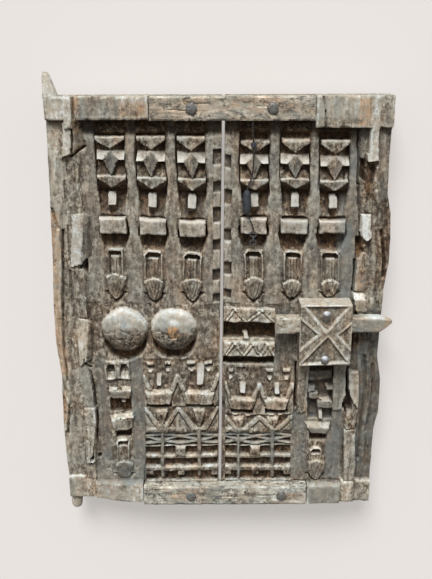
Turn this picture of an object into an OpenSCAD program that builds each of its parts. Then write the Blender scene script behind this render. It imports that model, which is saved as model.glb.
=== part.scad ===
// Granary door leaf: two carved planks held by two battens and iron spikes, turning on wooden
// pivots cut from the hinge-side plank, with a wooden tumbler lock.
// Everything is drawn lying on its back: x to the right of the leaf's centre line, y up from the
// shoulder of the lower pivot, z out from the flat back face. stand() then sets it upright on the
// pivot axis: origin at the lower pivot's shoulder, +Z up, carved front towards -Y.

/* [Leaf] */
// Width across both planks
leaf_w = 600; // [540:10:720]
// Height of the hinge-side plank from pivot shoulder to pivot shoulder
leaf_h = 780; // [770:10:940]
// Thickness at the posts, rails and battens
rail_d = 62; // [56:1:72]
// Thickness left in the sunk field between the carvings
field_d = 24; // [16:1:28]
// Thickness at the smooth stiles beside the columns
stile_d = 40; // [32:1:44]
// Thickness at the fronts of bars, figures and shields
carving_d = 50; // [46:1:51]
// Open gap between the planks
gap_w = 5.5; // [3:0.5:9]
// Gap's distance to the right of the centre line, at the top
gap_top_x = 8; // [-10:1:12]
// Gap's distance to the right of the centre line, at the foot
gap_foot_x = -0.5; // [-10:0.5:12]

/* [Pivots] */
// Pivot axis to the straight hinge-side edge
pivot_in = 10; // [10:1:20]
// Pivot axis to the back face
pivot_d = 30; // [20:1:36]
// Radius of the lower pivot
lower_pivot_r = 12; // [8:0.5:13]
// Length of the lower pivot
lower_pivot_len = 32; // [20:1:40]
// Radius of the upper pivot's round end
upper_pivot_r = 7.5; // [5:0.5:9]
// Length of the upper pivot's round end
upper_pivot_len = 18; // [10:1:26]
// Height of the tapered root under the upper pivot
upper_root_h = 22; // [10:1:30]

/* [Battens] */
// Height of the top and bottom battens
batten_h = 41; // [36:1:48]
// Thickness of the battens
batten_t = 32; // [26:1:36]
// Left end of the top batten, from the centre line
top_batten_left = -121; // [-150:1:-100]
// Right end of the top batten, in from the lock-side edge
top_batten_inset = 134; // [120:1:160]
// Left end of the bottom batten, from the centre line
foot_batten_left = -152; // [-180:1:-110]
// Right end of the bottom batten, in from the lock-side edge
foot_batten_inset = 128; // [110:1:150]
// How far the bottom batten hangs under the lower pivot's shoulder
foot_batten_drop = 14; // [8:1:18]
// Dry joint at each end of a batten
batten_joint = 0.5; // [0.2:0.1:1]

/* [Spikes] */
// Side of a forged square shank
spike_side = 6; // [5:0.5:8]
// Radius of a batten spike's head
spike_head_r = 11; // [8:0.5:13]
// Radius of a lock spike's head
lock_spike_head_r = 7.5; // [6:0.5:9]
// Height of a spike's head
spike_head_h = 4; // [3:0.5:6]
// Wood left behind the spike's point
spike_point_wood = 4; // [2:0.5:8]
// Slack round a shank in its hole
spike_clear = 0.05; // [0.05:0.05:0.2]

/* [Carving] */
// Width of a column of carvings
column_w = 50; // [40:1:56]
// Spacing of the columns
column_pitch = 70.5; // [66:0.5:76]
// Innermost left column to the centre line
left_column_x = 50; // [44:1:56]
// Innermost right column to the centre line
right_column_x = 63; // [57:1:66]
// Radius of the ball that each breast is a cap of
breast_r = 52; // [48:1:53]
// Spacing of the two breasts
breast_pitch = 93; // [88:1:100]
// Middle of that ball above the back face
breast_d = 13; // [10:1:16]
// Width of the zigzag border on each side
border_w = 53; // [46:1:58]
// Width of the smooth stiles between the columns
stile_w = 16; // [10:1:20]
// Length of a long facet of the border
tooth_h = 100; // [60:5:120]
// Height of the end blocks at the foot
foot_block_h = 48; // [40:1:54]
// Height of the lock-side end block at the top
top_block_h = 54; // [44:1:60]

/* [Lock] */
// Width of the lock case
case_w = 95; // [88:1:108]
// Height of the lock case
case_h = 119; // [112:1:132]
// Front of the lock case above the back face of the leaf
case_front_d = 86; // [82:1:92]
// Middle of the lock case, in from the lock-side edge
case_inset = 106; // [102:1:116]
// Top of the lock case below the leaf's top edge
case_drop = 367; // [352:1:372]
// Height of the bolt
bolt_h = 30; // [24:1:36]
// Thickness of the bolt
bolt_t = 28; // [22:1:28]
// Back of the bolt above the back face of the leaf
bolt_back_d = 52; // [52:0.5:56]
// Top of the bolt below the top of the case
bolt_drop = 27; // [27:1:40]
// Bolt beyond the lock-side edge of the leaf when it is shot
bolt_reach = 17; // [10:1:28]
// Bolt showing on the other side of the case
bolt_tail = 43.5; // [36:0.5:52]
// Slack round the bolt in its channel
bolt_clear = 0.5; // [0.3:0.1:1]
// Travel that draws the bolt back inside the edge
bolt_draw = 45; // [30:1:50]
// Travel left until the tumblers meet their holes
bolt_spare = 8; // [7:0.5:10]
// Width and depth of the keyway along the bolt
keyway = 12; // [8:1:14]
// Radius of a tumbler pin
tumbler_r = 2.5; // [2:0.5:3]
// Length of a tumbler pin
tumbler_len = 14; // [11:1:15]
// Lift of a tumbler pin
tumbler_lift = 9; // [6:1:9]
// Slack round a tumbler in its shaft
tumbler_clear = 0.3; // [0.2:0.1:0.5]

/* [Hanging cord] */
// Diameter of the cord
cord_dia = 3; // [2:0.5:4]
// Radius of the wrapped charm
charm_r = 8; // [6:0.5:10]
// Length of the wrapped charm
charm_len = 44; // [30:1:50]
// Middle radius of an iron link
link_r = 5.2; // [4:0.2:7]
// Wire radius of an iron link
link_wire_r = 1.3; // [1:0.1:1.6]
// Slack between two links
link_clear = 0.3; // [0.2:0.1:0.6]

/* [Hidden] */
$fn = 48;

hinge_x = -leaf_w / 2;
lock_x = leaf_w / 2;
axis_x = hinge_x + pivot_in;
bite = 1;                     // how far a carving is sunk into what it stands on
seam_d = rail_d - batten_t;   // depth of the seat under a battened joint
wander = 12;                  // widest that the rough edges stray beyond the leaf's width
over = 2;                     // how far a seat runs on past what sits on it

// Places along the leaf, from its centre line
left_stiles_x = [-234, -158, -84];
right_stiles_x = [98, 171];
inner_stile_left = -26;
inner_stile_right = 38;
foot_block_x = hinge_x + 55;
foot_post_x = lock_x - 57;

// Tops of the border's facets and of the notches along the gap, from the leaf's top edge down
left_teeth_v = [0, 206, 398, 578];
right_teeth_v = [0, 202, 349, 512, 637];
left_notches_v = [116, 164, 219, 271, 328, 371];
right_notches_v = [123, 188, 256, 320, 365];
notch_w = 20;
notch_h = 25;
tooth_lean = 8;

// Foot of each part of the leaf, under or over the lower pivot's shoulder
left_foot_y = -8;
right_foot_y = -12;
right_block_foot_y = -17;
foot_batten_y = -foot_batten_drop;

// Heights of the upper register, from the leaf's top edge down
gem_v = 66;
nose_v = 166;
bar_v = 213;
arch_v = 270;
shield_v = 322;
breast_v = 419;
gem_h = 96;
nose_h = 49;
bar_h = 29;
arch_h = 48;
shield_h = 44;

// Heights of the lower register, up from the lower pivot's shoulder
panel_y = 38;
register_y = 296;
left_panel_top = 288;
right_panel_top = 276;
zigzag_bar_v = [412, 482];
zigzag_bar_h = 34;
zigzag_bar_right = 104;
left_panel_x = -76;
right_panel_x = 74;
panel_post_pitch = 70;

// Lock
leg_w = 20;
leg_h = 100;
case_x = lock_x - case_inset;
case_y = leaf_h - case_drop - case_h;
case_back_d = stile_d;
case_left = case_x - case_w / 2;
case_right = case_x + case_w / 2;
bolt_y = case_y + case_h - bolt_drop - bolt_h;
bolt_left = case_left - bolt_tail;
bolt_right = lock_x + bolt_reach;
bolt_mid_d = bolt_back_d + bolt_t / 2;
bolt_point = 26;
neck_step = 3;
tumbler_x = [case_x - 32, case_x - 18, case_x + 20];
tumbler_seat_y = bolt_y + bolt_h;
lock_spike_y = [case_y + case_h - 16, case_y + 12];

// Spikes through the battens: distance from the centre line, height of the head
top_spike_y = leaf_h - batten_h / 2;
foot_spike_y = foot_batten_y + batten_h / 2;
top_spike_x = [-48, 92];
foot_spike_x = [-58, 122];

// Cord: its route down from the top batten, by x, distance below the leaf's top and depth
cord_route = [[58, batten_h, 56], [58, 46, 56], [58, 52, 56], [58, 58, 56.2], [58.5, 64, 56.5],
              [59, 71, 57], [59.5, 79, 57], [60, 87, 57], [60, 95, 57], [60, 103, 57],
              [59.5, 111, 57], [59.5, 119, 57], [59, 127, 57], [58, 135, 57], [56, 142, 57.5],
              [53, 149, 58.5], [50.5, 156, 59.5], [49, 163, 60], [48.5, 170, 60], [48.5, 178, 60],
              [48.5, 186, 60], [48.5, 194, 60], [49, 201, 60], [50.5, 207, 59.8], [53.5, 213, 59],
              [56.5, 219, 58.2], [59, 225, 57.5], [60, 231, 57], [60.5, 237, 57]];
bead_v = 83;
ring_v = 140;
charm_v = 183;
link_v = 242;
link_pitch = 2 * (link_r - link_wire_r) - link_clear;
cord_sides = 8;

// ---- setting out ---------------------------------------------------------------------------

// Sets a lying piece upright on the pivot axis
module stand() {
    translate([-axis_x, pivot_d, 0]) rotate([90, 0, 0]) children();
}

// Middle of the gap between the planks at a height
function gap_x(y) = gap_foot_x + (gap_top_x - gap_foot_x) * y / leaf_h;

// Block: middle x, lower edge y, width, height, between two depths
module block(x, y, w, h, back, front) {
    translate([x - w / 2, y, back]) cube([w, h, front - back]);
}

// Block between two x values
module span(x0, x1, y, h, back, front) {
    translate([x0, y, back]) cube([x1 - x0, h, front - back]);
}

// Flat outline raised from the field to a front
module raised(front) {
    translate([0, 0, field_d - bite]) linear_extrude(front - field_d + bite) children();
}

// Side profile drawn as (distance below top, depth), carried across a width
module profile(x, top_y, w, points) {
    translate([x - w / 2, top_y, 0]) rotate([90, 0, 90])
        linear_extrude(w) polygon([for (p = points) [-p[0], p[1]]]);
}

// ---- carved motifs --------------------------------------------------------------------------

// Double lozenge block: ridge outline over notched sides
module gem(x, top_y, h = gem_h) {
    foot = field_d - bite;
    profile(x, top_y, column_w, [[0, foot], [0, carving_d], [h * 0.06, carving_d],
        [h * 0.25, carving_d - 12], [h * 0.42, carving_d], [h * 0.43, field_d + 6],
        [h * 0.67, field_d + 6], [h * 0.68, carving_d], [h * 0.72, carving_d],
        [h, field_d + 8], [h, foot]]);
    raised(carving_d) translate([x, top_y])
        polygon([[-column_w / 2, 0], [column_w / 2, 0], [2, -h * 0.25], [column_w / 4, -h * 0.42],
                 [2, -h * 0.68], [column_w / 2, -h * 0.68], [0, -h], [-column_w / 2, -h * 0.68],
                 [-2, -h * 0.68], [-column_w / 4, -h * 0.42], [-2, -h * 0.25]]);
}

// Peg with a sloping top and underside
module nose(x, top_y, h = nose_h, w = 13) {
    foot = field_d - bite;
    profile(x, top_y, w, [[0, foot], [0, field_d], [h * 0.47, carving_d - 4], [h, field_d], [h, foot]]);
}

// Arched figure with an upright rib
module arch(x, top_y, h = arch_h, w = 25) {
    raised(carving_d - 6) {
        translate([x, top_y - w / 2]) circle(w / 2);
        translate([x - w / 2, top_y - h]) square([w, h - w / 2]);
    }
    block(x, top_y - h, 9, h - 12, field_d - bite, carving_d);
}

// Shield: round top, tapering foot
module shield(x, top_y, h = shield_h, w = 36) {
    raised(carving_d) {
        translate([x, top_y - w / 2]) circle(w / 2);
        translate([x, top_y]) polygon([[-w / 2, -w / 2], [w / 2, -w / 2], [w / 4, -h], [-w / 4, -h]]);
    }
}

// One column of the upper register
module upper_column(x) {
    gem(x, leaf_h - gem_v);
    nose(x, leaf_h - nose_v);
    block(x, leaf_h - bar_v - bar_h, column_w - 2, bar_h, field_d - bite, carving_d);
    arch(x, leaf_h - arch_v);
    shield(x, leaf_h - shield_v);
}

// One column of the lower register, from its top height down
module lower_column(x, top_y) {
    gem(x, top_y, 52);
    block(x, top_y - 81, column_w, 25, field_d - bite, carving_d);
    nose(x, top_y - 90, 28, 11);
    block(x, top_y - 149, column_w, 38, field_d - bite, carving_d);
    arch(x, top_y - 171, 39);
    shield(x, top_y - 217, 34, 30);
}

// Two legs and a column of carvings under the lock case
module column_under_case() {
    for (x = [case_x - 33, case_x + 37])
        block(x, case_y - 6 - leg_h, leg_w, leg_h, 0, carving_d);
    block(case_x - 3, case_y - 58, column_w, 30, field_d - bite, carving_d - 2);
    block(case_x + 6, case_y - 98, 30, 20, field_d - bite, carving_d);
    nose(case_x, case_y - 106, 26, 12);
    block(case_x - 4, case_y - 157, column_w, 30, field_d - bite, carving_d);
    arch(case_x - 6, case_y - 190, 28);
    shield(case_x - 2, case_y - 219, 42, 32);
}

// Framed panel of pegs, trapezoids, a zigzag row and cross strands
module lower_panel(x, top_y) {
    // strands across the posts: height over the panel's foot, height, depth under the front
    strands = [[8, 16, 4], [30, 14, 2], [54, 16, 2], [104, 12, 0]];
    for (side = [-1, 1]) {
        cx = x + side * panel_post_pitch / 2;
        block(cx, panel_y, 9, 112, field_d - bite, carving_d + 4);
        nose(cx, top_y, 34, 12);
        raised(carving_d) translate([cx, top_y - 44])
            polygon([[-20, 0], [20, 0], [27, -28], [-27, -28]]);
        raised(carving_d) translate([cx, top_y - 76])
            polygon([[0, 0], [30, -50], [-30, -50]]);
    }
    for (strand = strands)
        block(x, panel_y + strand[0], 134, strand[1], field_d - bite, carving_d - strand[2]);
}

// Long facets that step down a border, each leaning inwards
module border_teeth(x, lean, tops) {
    rise = rail_d - stile_d;
    for (v = tops)
        translate([x, leaf_h - v, stile_d])
            linear_extrude(rise)
                polygon([[-6, 0], [7, 0], [7 + lean, -tooth_h], [-4 + lean, -tooth_h]]);
}

// Notches along one side of the gap: a negative side cuts the hinge-side plank
module gap_notches(side, tops) {
    for (v = tops)
        block(gap_x(leaf_h - v) + side * gap_w / 2, leaf_h - v, notch_w, notch_h,
              field_d + 4, rail_d);
}

// ---- cuts that make room for the fitted pieces ----------------------------------------------

// Room for a batten: seat, end joints and both outer edges
module batten_room(x0, x1, y) {
    span(x0 - batten_joint, x1 + batten_joint, y - bite, batten_h + 2 * bite,
         seam_d, case_front_d);
}

// Room for the lock case on its seat
module case_room() {
    block(case_x, case_y - batten_joint, case_w + 2 * batten_joint, case_h + 2 * batten_joint,
          case_back_d, case_front_d + bite);
}

// Room for the bolt all along its travel
module bolt_room() {
    span(bolt_left - bolt_draw - bolt_clear, bolt_right + bolt_spare + bite, bolt_y - 4,
         bolt_h + 8, bolt_back_d - bite, case_front_d + bite);
}

// Square hole for a spike, from its point to its head
module spike_hole(x, y, front) {
    side = spike_side + 2 * spike_clear;
    block(x, y - side / 2, side, side, spike_point_wood, front);
}

// ---- pieces ---------------------------------------------------------------------------------

// Outline of the hinge-side plank
module left_outline() {
    polygon([[hinge_x, leaf_h], [hinge_x - 3, 600], [hinge_x - 9, 390], [hinge_x - 9, 274],
             [hinge_x - 2, 262], [hinge_x - 4, 205], [hinge_x, 48], [hinge_x, 0],
             [foot_block_x, 0], [gap_x(left_foot_y) - gap_w / 2, left_foot_y],
             [gap_x(leaf_h) - gap_w / 2, leaf_h]]);
}

// Outline of the lock-side plank
module right_outline() {
    polygon([[gap_x(right_foot_y) + gap_w / 2, right_foot_y], [lock_x, right_foot_y],
             [lock_x - 3, 60], [lock_x + 9, 160], [lock_x + 9, 250], [lock_x, 300],
             [lock_x, 440], [lock_x + 10, 500], [lock_x + 10, 560], [lock_x - 1, 610],
             [lock_x, leaf_h - 60], [lock_x + 3, leaf_h - 50], [lock_x + 3, leaf_h],
             [gap_x(leaf_h) + gap_w / 2, leaf_h]]);
}

// Upper and lower pivots, cut from the hinge-side plank
module pivots() {
    translate([axis_x, 0, pivot_d]) rotate([90, 0, 0])
        cylinder(h = lower_pivot_len, r = lower_pivot_r);
    translate([axis_x, bite, pivot_d]) rotate([90, 0, 0])
        cylinder(h = 2 * bite, r = min(lower_pivot_r, pivot_in) - bite);
    translate([axis_x, leaf_h, pivot_d]) rotate([-90, 0, 0])
        cylinder(h = upper_root_h, r1 = lower_pivot_r + 3, r2 = upper_pivot_r);
    translate([axis_x, leaf_h + upper_root_h, pivot_d]) rotate([-90, 0, 0])
        cylinder(h = upper_pivot_len, r = upper_pivot_r);
}

// Hinge-side plank with its carving
module left_plank() {
    color("#6f6250") stand() difference() {
        union() {
            linear_extrude(field_d) left_outline();
            pivots();
            intersection() {
                linear_extrude(rail_d) left_outline();
                union() {
                    // border, smooth stiles beside the columns and along the gap
                    span(hinge_x - wander, hinge_x + border_w, foot_block_h,
                         leaf_h - foot_block_h - batten_h + bite, 0, carving_d);
                    border_teeth(hinge_x + border_w - 14, tooth_lean, left_teeth_v);
                    for (x = left_stiles_x)
                        block(x, register_y, stile_w, leaf_h - register_y - batten_h, 0, stile_d);
                    span(inner_stile_left, wander, left_foot_y, leaf_h - left_foot_y - batten_h,
                         0, stile_d);
                    block(left_stiles_x[1], foot_block_h, stile_w, register_y - foot_block_h + bite,
                          0, stile_d);
                    // end blocks that the battens are let in between
                    span(hinge_x - wander, top_batten_left - batten_joint, leaf_h - batten_h,
                         batten_h, 0, rail_d);
                    span(foot_block_x, foot_batten_left - batten_joint, 0, foot_block_h, 0, rail_d);
                    span(hinge_x, foot_block_x - 19, 0, foot_block_h, 0, carving_d);
                    // seats under the battens
                    span(top_batten_left - over, wander, leaf_h - batten_h - over,
                         batten_h + over, 0, seam_d);
                    span(foot_batten_left - over, wander, left_foot_y,
                         batten_h - foot_batten_drop - left_foot_y + over, 0, seam_d);
                }
            }
            for (i = [0 : 2]) upper_column(-left_column_x - i * column_pitch);
            for (i = [0, 1])
                translate([-left_column_x - 34 - i * breast_pitch, leaf_h - breast_v, breast_d])
                    sphere(breast_r);
            lower_column(-left_column_x - 2 * column_pitch - 4, register_y);
            lower_panel(left_panel_x, left_panel_top);
        }
        // nothing stands out of the flat back
        block(0, -leaf_h, 2 * leaf_w, 3 * leaf_h, -breast_r, 0);
        batten_room(top_batten_left, lock_x - top_batten_inset, leaf_h - batten_h);
        batten_room(foot_batten_left, lock_x - foot_batten_inset, foot_batten_y);
        bolt_room();
        gap_notches(-1, left_notches_v);
        spike_hole(top_spike_x[0], top_spike_y, rail_d);
        spike_hole(foot_spike_x[0], foot_spike_y, rail_d);
    }
}

// Lock-side plank with its carving
module right_plank() {
    color("#6a5f50") stand() difference() {
        union() {
            linear_extrude(field_d) right_outline();
            intersection() {
                linear_extrude(rail_d) right_outline();
                union() {
                    // border, smooth stiles beside the columns and along the gap
                    span(lock_x - border_w, lock_x + wander, right_foot_y,
                         leaf_h - right_foot_y - top_block_h + bite, 0, carving_d);
                    border_teeth(lock_x - border_w + 19, -tooth_lean, right_teeth_v);
                    for (x = right_stiles_x)
                        block(x, register_y, stile_w, leaf_h - register_y - batten_h, 0, stile_d);
                    span(-wander, inner_stile_right, right_foot_y, leaf_h - right_foot_y - batten_h,
                         0, stile_d);
                    block(case_x, case_y - 10, case_w + 12, case_h + 20, 0, case_back_d);
                    span(zigzag_bar_right + 36, case_left + 13, foot_block_h,
                         register_y - foot_block_h, 0, stile_d);
                    // end blocks that the battens are let in between
                    span(lock_x - top_batten_inset + batten_joint, lock_x + wander,
                         leaf_h - top_block_h, top_block_h, 0, rail_d);
                    span(foot_post_x - 3, lock_x + wander, right_foot_y, foot_block_h - over,
                         0, rail_d);
                    // seats under the battens
                    span(-wander, lock_x - top_batten_inset + over, leaf_h - batten_h - over,
                         batten_h + over, 0, seam_d);
                    span(-wander, lock_x - foot_batten_inset + over, right_foot_y,
                         batten_h - foot_batten_drop - right_foot_y + over, 0, seam_d);
                }
            }
            span(lock_x - foot_batten_inset + batten_joint, foot_post_x, right_block_foot_y,
                 foot_block_h + over, 0, rail_d);
            for (i = [0 : 2]) upper_column(right_column_x + i * column_pitch);
            for (v = zigzag_bar_v)
                span(gap_x(leaf_h - v) + gap_w / 2, zigzag_bar_right, leaf_h - v, zigzag_bar_h,
                     field_d - bite, carving_d);
            column_under_case();
            lower_panel(right_panel_x, right_panel_top);
        }
        batten_room(top_batten_left, lock_x - top_batten_inset, leaf_h - batten_h);
        batten_room(foot_batten_left, lock_x - foot_batten_inset, foot_batten_y);
        case_room();
        bolt_room();
        gap_notches(1, right_notches_v);
        spike_hole(top_spike_x[1], top_spike_y, rail_d);
        spike_hole(foot_spike_x[1], foot_spike_y, rail_d);
        for (y = lock_spike_y) spike_hole(case_x, y, rail_d);
    }
}

// Batten between two x values, with a hole for each spike
module batten(x0, x1, y, spikes, spike_y) {
    stand() difference() {
        span(x0, x1, y, batten_h, seam_d, rail_d);
        for (x = spikes) spike_hole(x, spike_y, rail_d + bite);
    }
}

// Batten across the top
module top_batten() {
    color("#8d7d66")
        batten(top_batten_left, lock_x - top_batten_inset, leaf_h - batten_h,
               top_spike_x, top_spike_y);
}

// Batten across the foot
module bottom_batten() {
    color("#85775f")
        batten(foot_batten_left, lock_x - foot_batten_inset, foot_batten_y,
               foot_spike_x, foot_spike_y);
}

// Forged spike: chisel-pointed square shank under a domed head that seats at a depth
module spike(x, y, seat_d, head_r) {
    shank = seat_d - spike_point_wood;
    color("#4a4d50") stand() translate([x, y, seat_d]) {
        cylinder(h = spike_head_h, r1 = head_r, r2 = head_r * 0.6);
        translate([0, spike_side / 2, 0]) rotate([90, 0, 0]) linear_extrude(spike_side)
            polygon([[-spike_side / 2, 0], [spike_side / 2, 0], [spike_side / 2, -shank + 10],
                     [0, -shank], [-spike_side / 2, -shank + 10]]);
    }
}

module spike_top_left() { spike(top_spike_x[0], top_spike_y, rail_d, spike_head_r); }

module spike_top_right() { spike(top_spike_x[1], top_spike_y, rail_d, spike_head_r); }

module spike_bottom_left() { spike(foot_spike_x[0], foot_spike_y, rail_d, spike_head_r); }

module spike_bottom_right() { spike(foot_spike_x[1], foot_spike_y, rail_d, spike_head_r); }

module lock_spike_upper() { spike(case_x, lock_spike_y[0], case_front_d, lock_spike_head_r); }

module lock_spike_lower() { spike(case_x, lock_spike_y[1], case_front_d, lock_spike_head_r); }

// Lock case: bolt channel through it and a shaft for each tumbler above the channel
module lock_case() {
    color("#8a7860") stand() difference() {
        block(case_x, case_y, case_w, case_h, case_back_d, case_front_d);
        // triangles sunk between the arms of the cross
        for (turn = [0 : 3])
            translate([case_x, case_y + case_h / 2, case_front_d - 2.5]) rotate(turn * 90)
                linear_extrude(10) {
                    reach = (turn % 2 == 0 ? case_h : case_w) / 2;
                    half = (turn % 2 == 0 ? case_w : case_h) / 2 - 14;
                    polygon([[0, 12], [half, reach - 3], [-half, reach - 3]]);
                }
        span(case_left - bite, case_right + bite, bolt_y - bolt_clear, bolt_h + 2 * bolt_clear,
             bolt_back_d - bolt_clear, bolt_back_d + bolt_t + bolt_clear);
        for (x = tumbler_x)
            translate([x, bolt_y + bolt_h / 2, bolt_mid_d]) rotate([-90, 0, 0])
                cylinder(h = bolt_h / 2 + tumbler_len + tumbler_lift + 2, r = tumbler_r + tumbler_clear);
        for (y = lock_spike_y) spike_hole(case_x, y, case_front_d + bite);
    }
}

// Bolt: pointed end, square tail, keyway along its core and a hole for each tumbler
module lock_bolt() {
    color("#7c6c57") stand() difference() {
        union() {
            translate([0, 0, bolt_back_d]) linear_extrude(bolt_t)
                polygon([[bolt_left, bolt_y], [bolt_right - bolt_point, bolt_y],
                         [bolt_right, bolt_y + bolt_h * 0.62], [bolt_right, bolt_y + bolt_h * 0.72],
                         [bolt_right - bolt_point, bolt_y + bolt_h], [bolt_left, bolt_y + bolt_h]]);
            span(bolt_left, case_left - bolt_spare - bite, bolt_y - neck_step, bolt_h + neck_step,
                 bolt_back_d, bolt_back_d + bolt_t);
        }
        translate([bolt_left - bite, bolt_y + bolt_h / 2 - keyway / 2, bolt_mid_d - keyway / 2])
            cube([tumbler_x[2] + 8 - bolt_left, keyway, keyway]);
        for (x = tumbler_x)
            translate([x - bolt_spare, bolt_y + bolt_h / 2, bolt_mid_d]) rotate([-90, 0, 0])
                cylinder(h = bolt_h, r = tumbler_r + tumbler_clear);
    }
}

// Tumbler pin: stands on the bolt in its shaft
module tumbler(x) {
    color("#55585a") stand() translate([x, tumbler_seat_y, bolt_mid_d]) rotate([-90, 0, 0])
        cylinder(h = tumbler_len, r = tumbler_r);
}

module tumbler_1() { tumbler(tumbler_x[0]); }

module tumbler_2() { tumbler(tumbler_x[1]); }

module tumbler_3() { tumbler(tumbler_x[2]); }

// Point of the cord's route as (x, y, z) of the lying leaf
function route_point(i) = [cord_route[i][0], leaf_h - cord_route[i][1], cord_route[i][2]];

// One ring of the cord's tube: level rings, because the cord hangs
function cord_ring_points(i) = [for (s = [0 : cord_sides - 1])
    route_point(i) + cord_dia / 2 * [cos(s * 360 / cord_sides), 0, sin(s * 360 / cord_sides)]];

// Cord: tube swept down its route
module cord() {
    rings = len(cord_route);
    side_faces = [for (i = [0 : rings - 2], s = [0 : cord_sides - 1])
        [i * cord_sides + s, i * cord_sides + (s + 1) % cord_sides,
         (i + 1) * cord_sides + (s + 1) % cord_sides, (i + 1) * cord_sides + s]];
    top_face = [[for (s = [cord_sides - 1 : -1 : 0]) s]];
    end_face = [[for (s = [0 : cord_sides - 1]) (rings - 1) * cord_sides + s]];
    color("#2b2724") stand()
        polyhedron([for (i = [0 : rings - 1]) each cord_ring_points(i)],
                   concat(top_face, side_faces, end_face));
}

// Centre of something threaded on the cord, at a distance below the leaf's top
module on_cord(x, v, d) {
    stand() translate([x, leaf_h - v, d]) rotate([90, 0, 0]) children();
}

// Knotted bead near the top of the cord
module cord_bead() {
    color("#4c4a48") on_cord(60, bead_v, 57) sphere(5.5);
}

// Iron ring where the cord is tied
module cord_ring() {
    color("#45474a") on_cord(57, ring_v, 57.4) rotate_extrude() translate([3, 0]) circle(link_wire_r);
}

// Charm bound round the cord: a barrel with narrow ends
module charm() {
    color("#2f2925") on_cord(48.6, charm_v, 60) rotate_extrude()
        polygon([[0, -charm_len / 2], [charm_r * 0.45, -charm_len / 2], [charm_r, -charm_len / 4],
                 [charm_r, charm_len / 4], [charm_r * 0.45, charm_len / 2], [0, charm_len / 2]]);
}

// Iron link: every second one is turned a quarter
module chain_link(i) {
    color("#4d5054") stand() translate([60.5, leaf_h - link_v - i * link_pitch, 57]) rotate([0, i * 90, 0])
        rotate_extrude() translate([link_r, 0]) circle(link_wire_r);
}

module link_1() { chain_link(0); }

module link_2() { chain_link(1); }

module link_3() { chain_link(2); }

left_plank();
right_plank();
top_batten();
bottom_batten();
spike_top_left();
spike_top_right();
spike_bottom_left();
spike_bottom_right();
lock_case();
lock_spike_upper();
lock_spike_lower();
lock_bolt();
tumbler_1();
tumbler_2();
tumbler_3();
cord();
cord_bead();
cord_ring();
charm();
link_1();
link_2();
link_3();
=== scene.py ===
"""Looks of a carved granary door leaf, built round its fixed frame.

Shapes are set out in the leaf's lying coordinates, in millimetres: x runs right from the centre
line, v runs down from the top edge, and d runs out from the flat back face.
"""
import logging
import math
from dataclasses import dataclass
from enum import Enum
from typing import Callable, Iterable, Sequence

import bmesh
import bpy
import numpy as np
from mathutils import Matrix, Vector


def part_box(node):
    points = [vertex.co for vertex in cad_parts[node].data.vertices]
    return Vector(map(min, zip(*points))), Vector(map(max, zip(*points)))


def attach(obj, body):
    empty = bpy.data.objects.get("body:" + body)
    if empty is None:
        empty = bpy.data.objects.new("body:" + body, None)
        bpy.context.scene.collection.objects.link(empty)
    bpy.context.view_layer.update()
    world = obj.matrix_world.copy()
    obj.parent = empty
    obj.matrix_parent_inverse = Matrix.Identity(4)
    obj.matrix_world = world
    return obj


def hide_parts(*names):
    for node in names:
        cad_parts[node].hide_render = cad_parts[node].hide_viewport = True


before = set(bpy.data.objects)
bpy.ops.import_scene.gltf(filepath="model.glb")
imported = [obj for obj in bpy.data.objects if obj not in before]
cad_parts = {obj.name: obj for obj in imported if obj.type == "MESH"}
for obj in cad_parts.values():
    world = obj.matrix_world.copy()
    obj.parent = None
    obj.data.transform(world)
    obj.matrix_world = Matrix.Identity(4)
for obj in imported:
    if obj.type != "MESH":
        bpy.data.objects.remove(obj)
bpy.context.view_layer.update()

MM = 0.001
LIP = 0.35        # half the run of a chiselled wall on the ruled grid
ARRIS = 2.2       # width of a worn edge
TURN = 2 * math.pi
ROOT = "root"

Array = np.ndarray
Piece = bpy.types.Object
Point = tuple[float, float]
Spot = tuple[float, float, float]
Colour = tuple[float, float, float]
Window = tuple[slice, ...]
Node = bpy.types.Node
Socket = bpy.types.NodeSocket
Fed = Socket | float | tuple | None
log = logging.getLogger("granary_door")


def each(work: Callable, *rows: tuple) -> None:
    """Does the same work with each row of arguments."""
    for row in rows:
        work(*row)


# ---- setting out ----

@dataclass(frozen=True)
class SettingOut:
    """Turns lying millimetres into the frame's metres."""

    half_width: float = 300
    pivot_in: float = 10
    back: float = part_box("left_plank")[1].y / MM
    top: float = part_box("top_batten")[1].z / MM

    def place(self, x: Array, v: Array, d: Array) -> Array:
        """Points in the frame's metres, one row each."""
        x, v, d = np.broadcast_arrays(x, v, d)
        across = x + self.half_width - self.pivot_in
        return np.stack([across, self.back - d, self.top - v], axis=-1) * MM


SET = SettingOut()


def held(t: Array) -> Array:
    """Value, held between 0 and 1."""
    return np.clip(t, 0.0, 1.0)


def smooth(t: Array) -> Array:
    """Smooth step from 0 to 1: t squared times (3 - 2t), with t held between 0 and 1."""
    t = held(t)
    return t * t * (3 - 2 * t)


def lattice_noise(x: Array, y: Array, seed: int) -> Array:
    """Smooth noise from -1 to 1: random values at whole numbers, joined by the smooth step.

    Args:
        x, y: coordinates in lattice steps.
        seed: picks the random values.

    Returns:
        Noise at each point.
    """
    size = 256
    table = np.random.default_rng(seed).uniform(-1, 1, (size, size))
    col, row = np.floor(x).astype(int), np.floor(y).astype(int)
    tx, ty = smooth(x - col), smooth(y - row)
    near, far = col % size, (col + 1) % size
    low, high = row % size, (row + 1) % size
    upper = table[low, near] * (1 - tx) + table[low, far] * tx
    lower = table[high, near] * (1 - tx) + table[high, far] * tx
    return upper * (1 - ty) + lower * ty


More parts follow.
